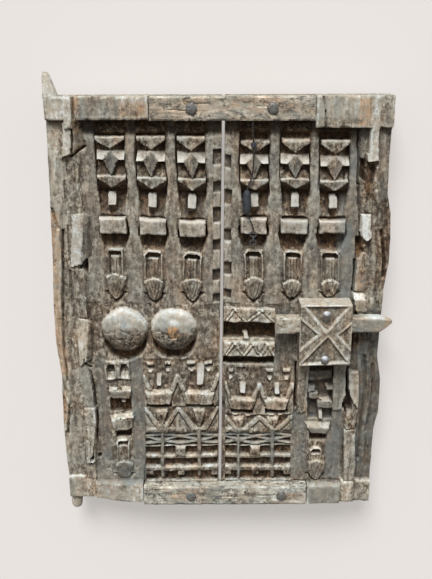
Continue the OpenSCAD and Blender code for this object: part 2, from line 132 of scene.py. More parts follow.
def rough(x: Array, y: Array, run: Point, seed: int, octaves: int = 3) -> Array:
    """Layered noise: each layer has half the run and half the strength of the one before.

    Args:
        x, y: coordinates in millimetres.
        run: size of the largest lumps along x and y.
        seed, octaves: what picks the random values, and the number of layers.

    Returns:
        Noise of about -1 to 1 at each point.
    """
    total = np.zeros(np.broadcast(x, y).shape)
    for layer in range(octaves):
        scale = 2 ** layer
        total += lattice_noise(x / run[0] * scale, y / run[1] * scale, seed + layer) / scale
    return total


def scallops(x: Array, y: Array, run: Point, seed: int) -> Array:
    """Adze marks: squared distance to the nearest of a jittered lattice of points.

    Args:
        x, y: coordinates in millimetres.
        run, seed: size of one mark along x and y, and what picks the jitter.

    Returns:
        0 at the middle of each dish, rising to about 0.5 at the ridges between them.
    """
    size = 128
    jitter = np.random.default_rng(seed).uniform(0.1, 0.9, (size, size, 2))
    x, y = x / run[0], y / run[1]
    col, row = np.floor(x).astype(int), np.floor(y).astype(int)
    nearest = np.full(x.shape, 9.0)
    for step_x in (-1, 0, 1):
        for step_y in (-1, 0, 1):
            spot = jitter[(row + step_y) % size, (col + step_x) % size]
            reach = (x - col - step_x - spot[..., 0]) ** 2 + (y - row - step_y - spot[..., 1]) ** 2
            nearest = np.minimum(nearest, reach)
    return nearest


# ---- carved faces ----

def ruled(stretches: Sequence[Spot], marks: Iterable[float] = ()) -> Array:
    """Lines of a ruled grid: even steps, with a close pair of lines at each chiselled edge.

    Args:
        stretches, marks: (from, to, step) runs in turn, and places of chiselled edges.

    Returns:
        Rising line positions.
    """
    low, high = stretches[0][0], stretches[-1][1]
    even = np.unique(np.concatenate(
        [np.linspace(a, b, max(2, round((b - a) / step) + 1)) for a, b, step in stretches]))
    edges = np.array(sorted({round(m + side * LIP, 3) for m in marks for side in (-1, 1)}))
    edges = edges[(edges > low + LIP) & (edges < high - LIP)]
    if len(edges):
        keep = np.abs(even[:, None] - edges[None, :]).min(axis=1) > 0.9
        keep[[0, -1]] = True
        even = even[keep]
        edges = edges[np.concatenate([[True], np.diff(edges) > 0.25])]
    return np.unique(np.concatenate([even, edges]))


class Stain(Enum):
    """What the surface wears, and the painted shade and highlights among it: the channel that holds
    its mask.
    """

    # warm brown: brown wood and grime, and also painted shade in recesses, pockets and under proud
    # parts
    WARM = 0
    SLATE = 1
    # pale: pale weathering, and also painted highlights on faces and edges that face up
    PALE = 2
    FRESH = 3


WARM, SLATE, PALE, FRESH = Stain


class Relief:
    """Face of a carved piece: a depth over a ruled grid, with a mask at each point of stains and of
    painted shade and highlights.

    A window is given by its left side x0, right side x1, top v0 and foot v1.
    """

    def __init__(self, x: Array, v: Array, base: float) -> None:
        """Starts from a flat face.

        Args:
            x, v, base: its rising grid lines, and its depth.
        """
        self.x, self.v = x, v
        self.x_grid, self.v_grid = np.meshgrid(x, v)
        self.d = np.full(self.x_grid.shape, base)
        self.stains = np.zeros(self.x_grid.shape + (4,))
        self.chips = rough(self.x_grid, self.v_grid, (10, 11), 301, 2)

    def part(self, x0: float, x1: float, v0: float, v1: float) -> tuple[Window, Array, Array]:
        """Index of a window of the grid, with its x values and its v values."""
        index = (slice(*np.searchsorted(self.v, (v0, v1))),
                 slice(*np.searchsorted(self.x, (x0, x1))))
        return index, self.x_grid[index], self.v_grid[index]

    def inset(self, x: Array, v: Array, x0: float, x1: float, v0: float, v1: float) -> Array:
        """Distance into a window, negative outside."""
        return np.minimum.reduce([x - x0, x1 - x, v - v0, v1 - v])

    def lift(self, index: Window, surface: Array) -> None:
        """Adds wood: keeps the higher of what is there and the given surface."""
        self.d[index] = np.maximum(self.d[index], surface)

    def cut(self, index: Window, surface: Array) -> None:
        """Takes wood away: keeps the lower of what is there and the given surface."""
        self.d[index] = np.minimum(self.d[index], surface)

    def block(self, x0: float, x1: float, v0: float, v1: float, front: float,
              wear: float = 1.3) -> None:
        """Square-edged block, less the wear along its arrises.

        Args:
            x0, x1, v0, v1, front, wear: its window, the depth of its face, and the wear.
        """
        index, x, v = self.part(x0, x1, v0, v1)
        inset = self.inset(x, v, x0, x1, v0, v1)
        self.lift(index, front + self.tilt(x, v) - self.worn(index, inset, wear))

    def tilt(self, x: Array, v: Array) -> Array:
        """Hand-cut slope of a face: a small tilt that depends on where the face is.

        Args:
            x, v: its points.

        Returns:
            What the slope adds to the depth at each point.
        """
        across, down = x.mean(), v.mean()
        slope_x = 0.035 * math.sin(across * 1.7 + down * 0.9)
        slope_v = 0.030 * math.sin(across * 0.8 - down * 1.3)
        return np.clip((x - across) * slope_x + (v - down) * slope_v, -1.4, 1.4)

    def worn(self, index: Window, inset: Array, wear: float) -> Array:
        """Wood lost along an arris: more of it where the chips are."""
        chips = np.clip(1 + 1.3 * self.chips[index], 0.15, 3)
        return wear * chips * held(1 - inset / (ARRIS * np.clip(chips, 0.7, 1.8)))

    def mark(self, index: Window, kind: Stain, mask: Array) -> None:
        """Marks a window in a stain channel, which holds stains and painted shade and highlights,
        where the mask is stronger than what is there.
        """
        channel = self.stains[index][..., kind.value]
        self.stains[index + (kind.value,)] = np.maximum(channel, mask)

    def sink(self, x0: float, x1: float, v0: float, v1: float, floor: float) -> None:
        """Square-edged recess down to a floor."""
        self.cut(self.part(x0, x1, v0, v1)[0], floor)

    def inside(self, outline: Sequence[Point], x: Array, v: Array) -> Array:
        """Distance into a convex outline: the least distance to its sides, negative outside.

        Args:
            outline, x, v: corners, clockwise on the face, and the points.

        Returns:
            Signed distance at each point.
        """
        depth = np.full(x.shape, 1e6)
        for (ax, av), (bx, bv) in zip(outline, [*outline[1:], outline[0]]):
            length = math.hypot(bx - ax, bv - av)
            depth = np.minimum(depth, ((bx - ax) * (v - av) - (bv - av) * (x - ax)) / length)
        return depth

    def around(self, outline: Sequence[Point],
               margin: float = 8) -> tuple[Window, Array, Array]:
        """Window that holds an outline with a margin."""
        xs, vs = [p[0] for p in outline], [p[1] for p in outline]
        return self.part(min(xs) - margin, max(xs) + margin, min(vs) - margin, max(vs) + margin)

    def figure(self, outline: Sequence[Point], front: float, steep: float, wear: float) -> None:
        """Raised figure: flat inside a convex outline, with steep sides outside it.

        Args:
            outline, front: its corners, clockwise, and the depth of its face.
            steep, wear: slope of its sides, and the wear along its arrises.
        """
        index, x, v = self.around(outline)
        into = self.inside(outline, x, v)
        worn = self.worn(index, np.maximum(into, 0), wear)
        self.lift(index, front + np.minimum(into, 0) * steep - worn * (into > 0))

    def hollow(self, outline: Sequence[Point], floor: float, steep: float) -> None:
        """Hollow: a floor inside a convex outline, with steep sides inside it.

        Args:
            outline, floor, steep: its corners, clockwise, its depth, and the slope of its sides.
        """
        index, x, v = self.around(outline)
        into = self.inside(outline, x, v)
        self.cut(index, floor + np.clip(3 - into, 0, 50) * steep + 200 * (into < 0))

    def facet(self, kind: Stain, amount: float, *corners: Spot) -> None:
        """Cuts a plane through three corners inside a convex outline, and stains it.

        Args:
            kind, amount: the stain and its strength.
            corners: x, v and depth of each, clockwise. The first two and the last fix the plane.
        """
        outline = [(x, v) for x, v, _ in corners]
        index, x, v = self.around(outline, 2)
        into = self.inside(outline, x, v)
        first, second, last = (np.array(corners[k], float) for k in (0, 1, -1))
        across, down, out = np.cross(second - first, last - first)
        plane = first[2] - ((x - first[0]) * across + (v - first[1]) * down) / out
        face = plane - self.worn(index, np.maximum(into, 0), 0.5)
        self.d[index] = np.where(into > 0, face, self.d[index])
        self.mark(index, kind, amount * (into > 0))

    def line(self, a: Point, b: Point, half_width: float, change: float) -> None:
        """Ridge of V section, or groove where the change is negative.

        Args:
            a, b, half_width, change: its two ends, half its width, and its height.
        """
        index, x, v = self.around([a, b], half_width + 1)
        run = np.array([b[0] - a[0], b[1] - a[1]])
        along = ((x - a[0]) * run[0] + (v - a[1]) * run[1]) / max(run @ run, 1e-6)
        along = held(along)
        away = np.hypot(x - a[0] - along * run[0], v - a[1] - along * run[1])
        self.d[index] += change * held(1 - away / half_width)

    def stain(self, kind: Stain, x0: float, x1: float, v0: float, v1: float,
              amount: float = 1, soft: float = 6) -> None:
        """Marks a patch in a stain channel, which holds stains and painted shade and highlights,
        fading over a soft edge.

        Args:
            kind, amount, soft: the stain, its strength, and the width of the edge.
            x0, x1, v0, v1: the window.
        """
        index, x, v = self.part(x0 - soft, x1 + soft, v0 - soft, v1 + soft)
        inset = self.inset(x, v, x0, x1, v0, v1)
        self.mark(index, kind, amount * smooth(inset / soft + 0.5))

    def weather(self, seed: int, grain: Point, depth: float) -> None:
        """Adds undulation, small lumps and grain to every face.

        Args:
            seed, grain, depth: what picks them, the run of the grain, and the undulation.
        """
        x, v = self.x_grid, self.v_grid
        self.d += depth * rough(x, v, (26, 60), seed)
        self.d += 0.4 * depth * rough(x, v, grain, seed + 20, 2)
        self.d += 0.5 * depth * rough(x, v, (7, 8), seed + 40, 2)

    def split(self, seed: int, count: int, x0: float, x1: float, v0: float, v1: float) -> None:
        """Opens fine cracks along the grain.

        Args:
            seed, count: what picks them, and how many.
            x0, x1, v0, v1: the window.
        """
        rng = np.random.default_rng(seed)
        for _ in range(count):
            x, v = rng.uniform(x0, x1), rng.uniform(v0, v1)
            length, sway = rng.uniform(18, 70), rng.uniform(-3, 3)
            middle = (x + sway, v + length / 2)
            self.line((x, v), middle, 2, -rng.uniform(1.2, 3))
            self.line(middle, (x + sway * 0.4, v + length), 1.8, -rng.uniform(1, 2.5))

    def masks(self) -> Array:
        """Works out the relief masks from the depth, its blur and its slope.

        Returns:
            Height over 60 mm, proudness about 0.5, facing up and facing down at each point.
        """
        blurred = self.d
        for axis in (0, 1):
            blurred = np.mean([np.roll(np.pad(blurred, 4, mode="edge"), k, axis=axis)[4:-4, 4:-4]
                               for k in range(-4, 5)], axis=0)
        slope = np.gradient(self.d, self.v, axis=0)
        tilt = slope / np.sqrt(1 + slope ** 2)
        return np.stack([held(self.d / 60),
                         held(0.5 + (self.d - blurred) / 16),
                         held(tilt), held(-tilt)], axis=-1)


# ---- meshes ----

def grid_faces(index: Array) -> Array:
    """Quads between the neighbours of a grid of vertex numbers."""
    return np.stack([index[:-1, :-1], index[1:, :-1], index[1:, 1:], index[:-1, 1:]],
                    axis=-1).reshape(-1, 4)


def loop_faces(first: Array, second: Array) -> Array:
    """Quads between two closed rings of vertex numbers."""
    return np.stack([first, np.roll(first, -1), np.roll(second, -1), second], axis=-1)


def stitch(first: Array, first_at: Array, second: Array, second_at: Array) -> Array:
    """Triangles between two rows of vertices, merged by the midpoints of their steps.

    Args:
        first, first_at: vertex numbers of one row and their rising positions.
        second, second_at: the same of the other row, with the same ends.

    Returns:
        Three vertex numbers for each triangle.
    """
    first_mid = (first_at[1:] + first_at[:-1]) / 2
    second_mid = (second_at[1:] + second_at[:-1]) / 2
    tips = second[np.searchsorted(second_mid, first_mid)]
    one = np.stack([first[:-1], first[1:], tips], axis=-1)
    tips = first[np.searchsorted(first_mid, second_mid, side="right")]
    return np.concatenate([one, np.stack([second[1:], second[:-1], tips], axis=-1)])


def rim(rows: int, cols: int) -> list[tuple[Array, Array]]:
    """Row and column numbers along the four sides of a grid, round its edge in turn."""
    down, across = np.arange(rows), np.arange(cols)
    return [(np.zeros(cols, int), across), (down, np.full(rows, cols - 1)),
            (np.full(cols, rows - 1), across[::-1]), (down[::-1], np.zeros(rows, int))]


def stand(name: str, data: bpy.types.ID) -> Piece:
    """New object, linked to the scene."""
    obj = bpy.data.objects.new(name, data)
    bpy.context.scene.collection.objects.link(obj)
    return obj


def add_mesh(name: str, points: Array, faces: Sequence[Array], sharp: float = 33,
             **masks: Array) -> Piece:
    """Object from points and faces, with its normals pointing outwards.

    Args:
        name, points, faces: its name, vertices in metres, and arrays of vertex numbers.
        sharp: angle in degrees past which an edge is shaded sharp.
        masks: four-channel masks, by attribute name.

    Returns:
        The linked object.
    """
    mesh = bpy.data.meshes.new(name)
    polygons = [face for group in faces for face in group.tolist()]
    mesh.from_pydata(points.tolist(), [], polygons)
    work = bmesh.new()
    work.from_mesh(mesh)
    bmesh.ops.recalc_face_normals(work, faces=work.faces)
    work.to_mesh(mesh)
    work.free()
    mesh.shade_smooth()
    mesh.set_sharp_from_angle(angle=math.radians(sharp))
    for label, values in masks.items():
        layer = mesh.attributes.new(label, "FLOAT_COLOR", "POINT")
        values = np.broadcast_to(values, (len(points), 4)).astype(np.float32)
        layer.data.foreach_set("color", values.ravel())
    mesh.update()
    return stand(name, mesh)


def circle(count: int, shift: float = 0) -> Array:
    """Even angles round a full turn, shifted by a share of a step."""
    return (np.arange(count) + shift) / count * TURN


def ringed(name: str, rings: Array, tips: Array, sharp: float, **masks: Array) -> Piece:
    """Closed solid: quads between rings of points, and a fan from each end ring to its tip.

    Args:
        name, sharp, masks: as for add_mesh.
        rings, tips: points of each ring, and the two end points.

    Returns:
        The linked object.
    """
    count = rings.shape[1]
    points = np.concatenate([rings.reshape(-1, 3), tips])
    index = np.arange(len(points) - 2).reshape(-1, count)
    faces = [loop_faces(a, b) for a, b in zip(index, index[1:])]
    for tip, edge in ((len(points) - 2, index[0]), (len(points) - 1, index[-1])):
        faces.append(np.stack([np.roll(edge, -1), edge, np.full(count, tip)], axis=-1))
    return add_mesh(name, points, faces, sharp, **masks)


class Shell:
    """Solid in the making, from a carved face and rings that follow the face's rim."""

    def __init__(self, relief: Relief, masks: Array, x: Array, v: Array) -> None:
        """Starts with the carved face.

        Args:
            relief, masks, x, v: the face, its masks, and its points' hand-cut x and v.
        """
        rows, cols = relief.d.shape
        self.sides = rim(rows, cols)
        self.row, self.col = (np.concatenate([side[k][:-1] for side in self.sides]) for k in (0, 1))
        self.x, self.v = relief.x[self.col], relief.v[self.row]
        self.ends = (self.col == 0) | (self.col == cols - 1)
        self.levels = (self.row == 0) | (self.row == rows - 1)
        self.points: list[Array] = []
        self.reliefs: list[Array] = []
        self.stains: list[Array] = []
        index = self.add(SET.place(x, v, relief.d), masks, relief.stains)
        self.faces = [grid_faces(index)]
        self.rings = [index[self.row, self.col]]

    def add(self, points: Array, relief: Array, stain: Array) -> Array:
        """Adds points with their masks.

        Args:
            points, relief, stain: the points and their masks.

        Returns:
            Their numbers.
        """
        start = sum(len(p) for p in self.points)
        for store, values in ((self.points, points), (self.reliefs, relief), (self.stains, stain)):
            store.append(values.reshape(-1, values.shape[-1]))
        return start + np.arange(len(self.points[-1])).reshape(points.shape[:-1])

    def piece(self, name: str) -> Piece:
        """Makes the object."""
        return add_mesh(name, np.concatenate(self.points), self.faces,
                        relief=np.concatenate(self.reliefs), stain=np.concatenate(self.stains))


def carved_solid(name: str, relief: Relief, warp: Callable, back: Callable, seed: int,
                 back_step: float = 6) -> Piece:
    """Closed solid: carved face, side walls of wavy rings, and a coarser back.

    Args:
        name, relief: name of the piece and its carved face.
        warp: turns grid x and v into the hand-cut x and v.
        back, back_step: depth of the back face at x and v, and the spacing of its grid.
        seed: picks the walls' waviness.

    Returns:
        The linked object with its relief and stain masks.
    """
    masks = relief.masks()
    shell = Shell(relief, masks, *warp(relief.x_grid, relief.v_grid))
    row, col, x, v = shell.row, shell.col, shell.x, shell.v
    near_d, far_d = relief.d[row, col], back(x, v)
    for count, share in enumerate((0.05, 0.3, 0.6, 0.92)):
        depth = near_d + (far_d - near_d) * share
        inward = 0.7 * (0.6 + 0.5 * rough(x + v, depth, (14, 18), seed + count, 2))
        inward = inward * (0.3 if share < 0.1 else 1)
        ring_x = x + inward * np.sign(relief.x.mean() - x) * shell.ends
        ring_v = v + inward * np.sign(relief.v.mean() - v) * shell.levels
        mask = masks[row, col].copy()
        mask[:, 0] = held(0.62 + depth / 250)
        mask[:, 1] = 0.5
        # the top ring faces up and takes a painted top light, and the foot ring faces down and
        # takes painted shade
        mask[:, 2] = np.where(row == 0, 0.55, 0)
        mask[:, 3] = np.where(row == row.max(), 0.6, 0)
        ring = shell.add(SET.place(*warp(ring_x, ring_v), depth), mask,
                         relief.stains[row, col] * 0.6)
        shell.faces.append(loop_faces(shell.rings[-1], ring))
        shell.rings.append(ring)

    back_x, back_v = (np.linspace(line[0], line[-1], max(3, round(np.ptp(line) / back_step) + 1))
                      for line in (relief.x, relief.v))
    grid_x, grid_v = np.meshgrid(back_x, back_v)
    depth = back(grid_x, grid_v)
    flat = np.zeros(depth.shape + (4,))
    flat[..., 0] = 0.72
    # parts of the back cut in deeper count as less proud, which paints shade into them
    flat[..., 1] = 0.5 - np.clip(depth - depth.mean(), -2, 2) * 0.08
    index = shell.add(SET.place(*warp(grid_x, grid_v), depth), flat, flat * 0)
    shell.faces.append(grid_faces(index))

    starts = np.cumsum([0] + [len(side[0]) - 1 for side in shell.sides])
    closed = np.append(ring, ring[0])
    for number, (side, far_side) in enumerate(zip(shell.sides, rim(*depth.shape))):
        near_ids = closed[starts[number]:starts[number + 1] + 1]
        lines, far_lines, k = ((relief.x, back_x, 1), (relief.v, back_v, 0))[number % 2]
        turn = 1 if number < 2 else -1
        shell.faces.append(stitch(near_ids, turn * lines[side[k]], index[far_side],
                                  turn * far_lines[far_side[k]]))
    return shell.piece(name)


# ---- finishes ----

class Bench:
    """Places shader nodes in a tree and joins their sockets."""

    def __init__(self, tree: bpy.types.NodeTree) -> None:
        """Works in one node tree."""
        self.tree = tree

    def add(self, kind: str, inputs: dict | None = None, **settings: object) -> Node:
        """New node.

        Args:
            kind, inputs, settings: its type, what feeds its inputs, and its properties.

        Returns:
            The node.
        """
        node = self.tree.nodes.new(kind)
        for key, value in settings.items():
            setattr(node, key, value)
        self.fill(node, inputs or {})
        return node

    def feed(self, socket: Socket, value: Fed) -> None:
        """Joins a socket to another one, or sets it to a plain value.

        Args:
            socket, value: the socket, and what feeds it.
        """
        if isinstance(value, Socket):
            self.tree.links.new(value, socket)
        elif value is not None:
            if isinstance(value, tuple) and len(value) == 3 and socket.type == "RGBA":
                value = (*value, 1)
            socket.default_value = value

    def fill(self, node: Node, inputs: dict) -> None:
        """Feeds a node's inputs by their names or numbers."""
        for key, value in inputs.items():
            self.feed(node.inputs[key], value)

    def maths(self, operation: str, *values: Fed) -> Socket:
        """Result socket of a Math node."""
        return self.add("ShaderNodeMath", dict(enumerate(values)), operation=operation).outputs[0]

    def mix(self, factor: Fed, a: Fed, b: Fed, blend: str = "MIX") -> Socket:
        """Colour socket of a Mix node."""
        return self.add("ShaderNodeMix", {0: factor, 6: a, 7: b}, data_type="RGBA",
                        blend_type=blend).outputs[2]

    def noise(self, vector: Socket, scale: float, detail: float = 4,
              roughness: float = 0.6) -> Socket:
        """Value socket of a Noise Texture."""
        return self.add("ShaderNodeTexNoise", {"Vector": vector, "Scale": scale, "Detail": detail,
                                               "Roughness": roughness}).outputs[0]

    def stretch(self, vector: Socket, scale: Colour, turn: Colour = (0, 0, 0)) -> Socket:
        """Vector socket of a Mapping node that scales and turns a pattern."""
        return self.add("ShaderNodeMapping", {"Vector": vector, "Scale": scale,
                                              "Rotation": turn}).outputs[0]

    def between(self, *values: Fed) -> Socket:
        """Value, moved from one range to another one or to 0 and 1, and held there."""
        return self.add("ShaderNodeMapRange", dict(enumerate(values))).outputs[0]

    def ramp(self, value: Fed, stops: Sequence[tuple[float, Colour]]) -> Socket:
        """Colour ramp.

        Args:
            value, stops: what is coloured, and the (place, colour) stops.

        Returns:
            Its colour socket.
        """
        node = self.add("ShaderNodeValToRGB", {0: value})
        elements = node.color_ramp.elements
        while len(elements) < len(stops):
            elements.new(0.5)
        for element, (place, colour) in zip(elements, stops):
            element.position = place
            element.color = (*colour, 1)
        return node.outputs[0]

    def channels(self, colour: Socket) -> list[Socket]:
        """Red, green and blue sockets of a colour."""
        return list(self.add("ShaderNodeSeparateColor", {0: colour}).outputs)

    def attribute(self, name: str) -> dict[str, Socket]:
        """Output sockets of a mesh attribute."""
        return self.add("ShaderNodeAttribute", attribute_name=name).outputs


def new_group(name: str, **inputs: Fed) -> tuple[Bench, dict[str, Socket], Node]:
    """Empty shader node group that gives a colour, a roughness and a height.

    Args:
        name, inputs: its name, and default values by name, with _ for a space. None is a
            vector and a tuple a colour.

    Returns:
        Bench for the group, its input sockets by name, and its output node.
    """
    tree = bpy.data.node_groups.new(name, "ShaderNodeTree")
    for label, value in inputs.items():
        kind = {type(None): "Vector", tuple: "Color"}.get(type(value), "Float")
        socket = tree.interface.new_socket(label.replace("_", " "), in_out="INPUT",
                                           socket_type=f"NodeSocket{kind}")
        if value is not None:
            socket.default_value = (*value, 1) if kind == "Color" else value
    for label, kind in (("Color", "Color"), ("Roughness", "Float"), ("Height", "Float")):
        tree.interface.new_socket(label, in_out="OUTPUT", socket_type=f"NodeSocket{kind}")
    bench = Bench(tree)
    source = bench.add("NodeGroupInput")
    given = {label: source.outputs[label.replace("_", " ")] for label in inputs}
    return bench, given, bench.add("NodeGroupOutput")


def timber_group() -> bpy.types.NodeTree:
    """Old timber: speckles, streaks and cracks along the grain, toned by the relief masks.

    The tone is a base plus the carving's height, which paints shade and grime into the deep parts,
    and its proudness, which lightens worn edges and paints shade into hollows. A pale dusting and a
    painted top light lighten what faces up, painted shade darkens what faces down, and streaks,
    flecks and specks are added. It runs through dark, middle, pale and bright, and bright is the
    colour of painted highlights. The stains, with painted shade and highlights among them, then
    tint it. The grain runs along the vector's third axis.

    Returns:
        The node group.
    """
    black = (0, 0, 0)
    bench, given, out = new_group(
        "old_timber", Vector=None, Relief=(0.75, 0.5, 0), Down=0, Stain=black, Fresh=0,
        Dark=black, Middle=black, Pale=black, Bright=black, Warm_Tint=(0.150, 0.080, 0.032),
        Slate_Tint=(0.185, 0.198, 0.192), Fresh_Tint=black, Tone=0.5, Streaks=0.5, Flecks=0.5)
    maths, mix, between = bench.maths, bench.mix, bench.between
    vector = given["Vector"]
    dark, light = given["Dark"], given["Pale"]
    height, proud, up = bench.channels(given["Relief"])
    warm, slate, pale = bench.channels(given["Stain"])
    streak, broad, fleck, speck, crack, hue = (
        bench.noise(bench.stretch(vector, (1, 1, along)), *pattern)
        for along, *pattern in ((0.12, 210, 5, 0.62), (0.6, 38, 4, 0.6),
                                (0.75, 120, 6, 0.74), (0.8, 400, 3, 0.68),
                                (0.07, 170, 3, 0.5), (0.5, 34, 3, 0.6)))
    patch = bench.noise(vector, 52, 3, 0.6)

    def centred(value: Fed) -> Socket:
        """Value less a half."""
        return maths("SUBTRACT", value, 0.5)

    crack = between(maths("ABSOLUTE", centred(crack)), 0, 0.009, 1, 0)
    crack = maths("MULTIPLY", crack, between(broad, 0.5, 0.62))
    # painted shade and grime in the deep parts: the lower the carving, the darker the tone
    tone = maths("ADD", given["Tone"], between(height, 0.38, 0.86, -0.32, 0.09))
    swing = maths("MULTIPLY_ADD", centred(between(speck, 0.36, 0.64)), 0.6,
                  centred(between(fleck, 0.38, 0.62)))
    swing = maths("MULTIPLY", swing, between(patch, 0.38, 0.6, 0.45, 1.1))
    swing = maths("MULTIPLY", swing, given["Flecks"])
    calm = maths("MULTIPLY_ADD", pale, -0.45, maths("MULTIPLY_ADD", slate, -0.6, 1))
    streaks = maths("MULTIPLY", centred(streak), given["Streaks"])
    # worn proud edges lighter and hollows darker with painted shade; a pale dusting and a painted
    # top light on what faces up; painted shade on what faces down
    for value, weight in ((centred(proud), 0.42), (up, 0.22), (given["Down"], -0.2), (pale, 0.3),
                          (streaks, calm), (swing, calm), (centred(broad), 0.62)):
        tone = maths("MULTIPLY_ADD", value, weight, tone)

    colour = mix(between(tone, 0.08, 0.42), dark, given["Middle"])
    colour = mix(between(tone, 0.42, 0.7), colour, light)
    # bright: the colour of painted highlights
    colour = mix(between(tone, 0.74, 1.05), colour, given["Bright"])
    # the deepest parts and the warm channel turn dark brown: painted shade and grime
    buried = maths("MAXIMUM", warm, between(height, 0.62, 0.48, 0, 0.8))
    grime_and_shade = maths("MULTIPLY", buried, between(patch, 0.3, 0.5, 0.65, 1))
    dusk = mix(between(fleck, 0.42, 0.62), dark, given["Warm_Tint"])
    dusk = mix(between(tone, 0.5, 1), dusk, light)
    colour = mix(maths("MULTIPLY", grime_and_shade, 0.92), colour, dusk)
    cool = maths("MULTIPLY", slate, between(patch, 0.65, 0.35, 0.35, 0.9))
    shade = maths("MULTIPLY_ADD", swing, 0.9, 1)
    shade = bench.add("ShaderNodeCombineColor", {0: shade, 1: shade, 2: shade}).outputs[0]
    colour = mix(cool, colour, mix(1, given["Slate_Tint"], shade, "MULTIPLY"))
    peeled = maths("MULTIPLY", given["Fresh"], between(fleck, 0.42, 0.58, 0.1, 1.25))
    colour = mix(peeled, colour, given["Fresh_Tint"])
    colour = mix(maths("MULTIPLY", crack, 0.7), colour, dark)
    haze = bench.ramp(hue, [(0.32, (0.89, 0.97, 1.03)), (0.48, (0.97, 1, 0.97)),
                            (0.58, (1.04, 0.99, 0.92)), (0.7, (1.10, 0.95, 0.82))])
    rise = maths("MULTIPLY_ADD", streak, 0.4, maths("MULTIPLY", fleck, 0.5))
    rise = maths("MULTIPLY_ADD", speck, 0.35, rise)
    bench.fill(out, {"Color": mix(between(pale, 0.2, 0.9, 0.9, 0.3), colour,
                                  mix(1, colour, haze, "MULTIPLY")),
                     "Roughness": between(slate, 0, 1, 0.85, 0.5),
                     "Height": maths("MULTIPLY_ADD", crack, -0.5, rise)})
    return bench.tree


def iron_group() -> bpy.types.NodeTree:
    """Forged iron: hammered dents, blue-grey scale and rust in the hollows, with a pale dusting and
    a painted highlight where the mask asks.

    Returns:
        The node group.
    """
    bench, given, out = new_group(
        "forged_iron", Vector=None, Scale_Colour=(0.12, 0.14, 0.16), Rust=(0.14, 0.06, 0.025),
        Worn=(0.32, 0.34, 0.36), Rust_Share=0.4, Dust=0)
    dents = bench.noise(given["Vector"], 260, 3, 0.6)
    grit = bench.noise(given["Vector"], 1300, 3, 0.6)
    rust = bench.maths("ADD", bench.maths("SUBTRACT", dents, 0.75), given["Rust_Share"])
    rust = bench.between(rust, -0.05, 0.12)
    colour = bench.mix(bench.between(grit, 0.4, 0.65), given["Scale_Colour"], given["Worn"])
    colour = bench.mix(rust, colour, given["Rust"])
    rise = bench.maths("MULTIPLY_ADD", dents, 0.7, bench.maths("MULTIPLY", grit, 0.3))
    # pale blue-grey: a dusting and a painted highlight
    bench.fill(out, {"Color": bench.mix(given["Dust"], colour, (0.62, 0.66, 0.7)),
                     "Roughness": bench.between(rust, 0, 1, 0.55, 0.85), "Height": rise})
    return bench.tree


class Group(Enum):
    """Shared finishing effects."""

    TIMBER = "old_timber"
    IRON = "forged_iron"


GROUPS = {Group.TIMBER: timber_group(), Group.IRON: iron_group()}


def start_material(name: str) -> tuple[bpy.types.Material, Bench, Node]:
    """New node material.

    Args:
        name: its name.

    Returns:
        The material, its bench and its Principled shader.
    """
    material = bpy.data.materials.new(name)
    material.use_nodes = True
    nodes = material.node_tree.nodes
    return material, Bench(material.node_tree), nodes["Principled BSDF"]


def skin(bench: Bench, shader: Node, colour: Fed, roughness: Fed, height: Fed,
         strength: float, distance: float) -> None:
    """Feeds a shader its colour, its roughness and a bump.

    Args:
        bench, shader: the bench and the shader on it.
        colour, roughness: what feeds the shader.
        height, strength, distance: what feeds the bump.
    """
    bump = bench.add("ShaderNodeBump", {"Strength": strength, "Distance": distance,
                                        "Height": height})
    bench.fill(shader, {"Base Color": colour, "Roughness": roughness, "Normal": bump.outputs[0]})


class Grain(Enum):
    """Which way the wood's grain runs: the turn that brings it onto the pattern's third axis."""

    UPRIGHT = (0, 0, 0)
    ACROSS = (0, math.pi / 2, 0)


@dataclass(frozen=True)
class WoodFinish:
    """Weathered hardwood."""

    name: str
    slot: str
    grain: Grain = Grain.UPRIGHT
    dark: Colour = (0.014, 0.009, 0.006)
    middle: Colour = (0.165, 0.132, 0.102)
    pale: Colour = (0.45, 0.4, 0.325)
    # bright: the colour of painted highlights
    bright: Colour = (0.74, 0.755, 0.735)
    fresh: Colour = (0.48, 0.27, 0.13)
    tone: float = 0.50
    streaks: float = 0.55
    flecks: float = 0.50

    def material(self) -> bpy.types.Material:
        """Node material that reads Object coordinates and the relief and stain masks.

        Returns:
            The material.
        """
        material, bench, shader = start_material(self.name)
        place = bench.add("ShaderNodeTexCoord").outputs["Object"]
        relief, stain = bench.attribute("relief"), bench.attribute("stain")
        wood = bench.add("ShaderNodeGroup", node_tree=GROUPS[Group.TIMBER])
        bench.fill(wood, {
            "Vector": bench.stretch(place, (1, 1, 1), self.grain.value),
            "Relief": relief["Color"], "Down": relief["Alpha"], "Stain": stain["Color"],
            "Fresh": stain["Alpha"], "Dark": self.dark, "Middle": self.middle, "Pale": self.pale,
            "Bright": self.bright, "Fresh Tint": self.fresh, "Tone": self.tone,
            "Streaks": self.streaks, "Flecks": self.flecks})
        skin(bench, shader, *wood.outputs, 0.6, 0.0022)
        shader.inputs["Specular IOR Level"].default_value = 0.35
        return material


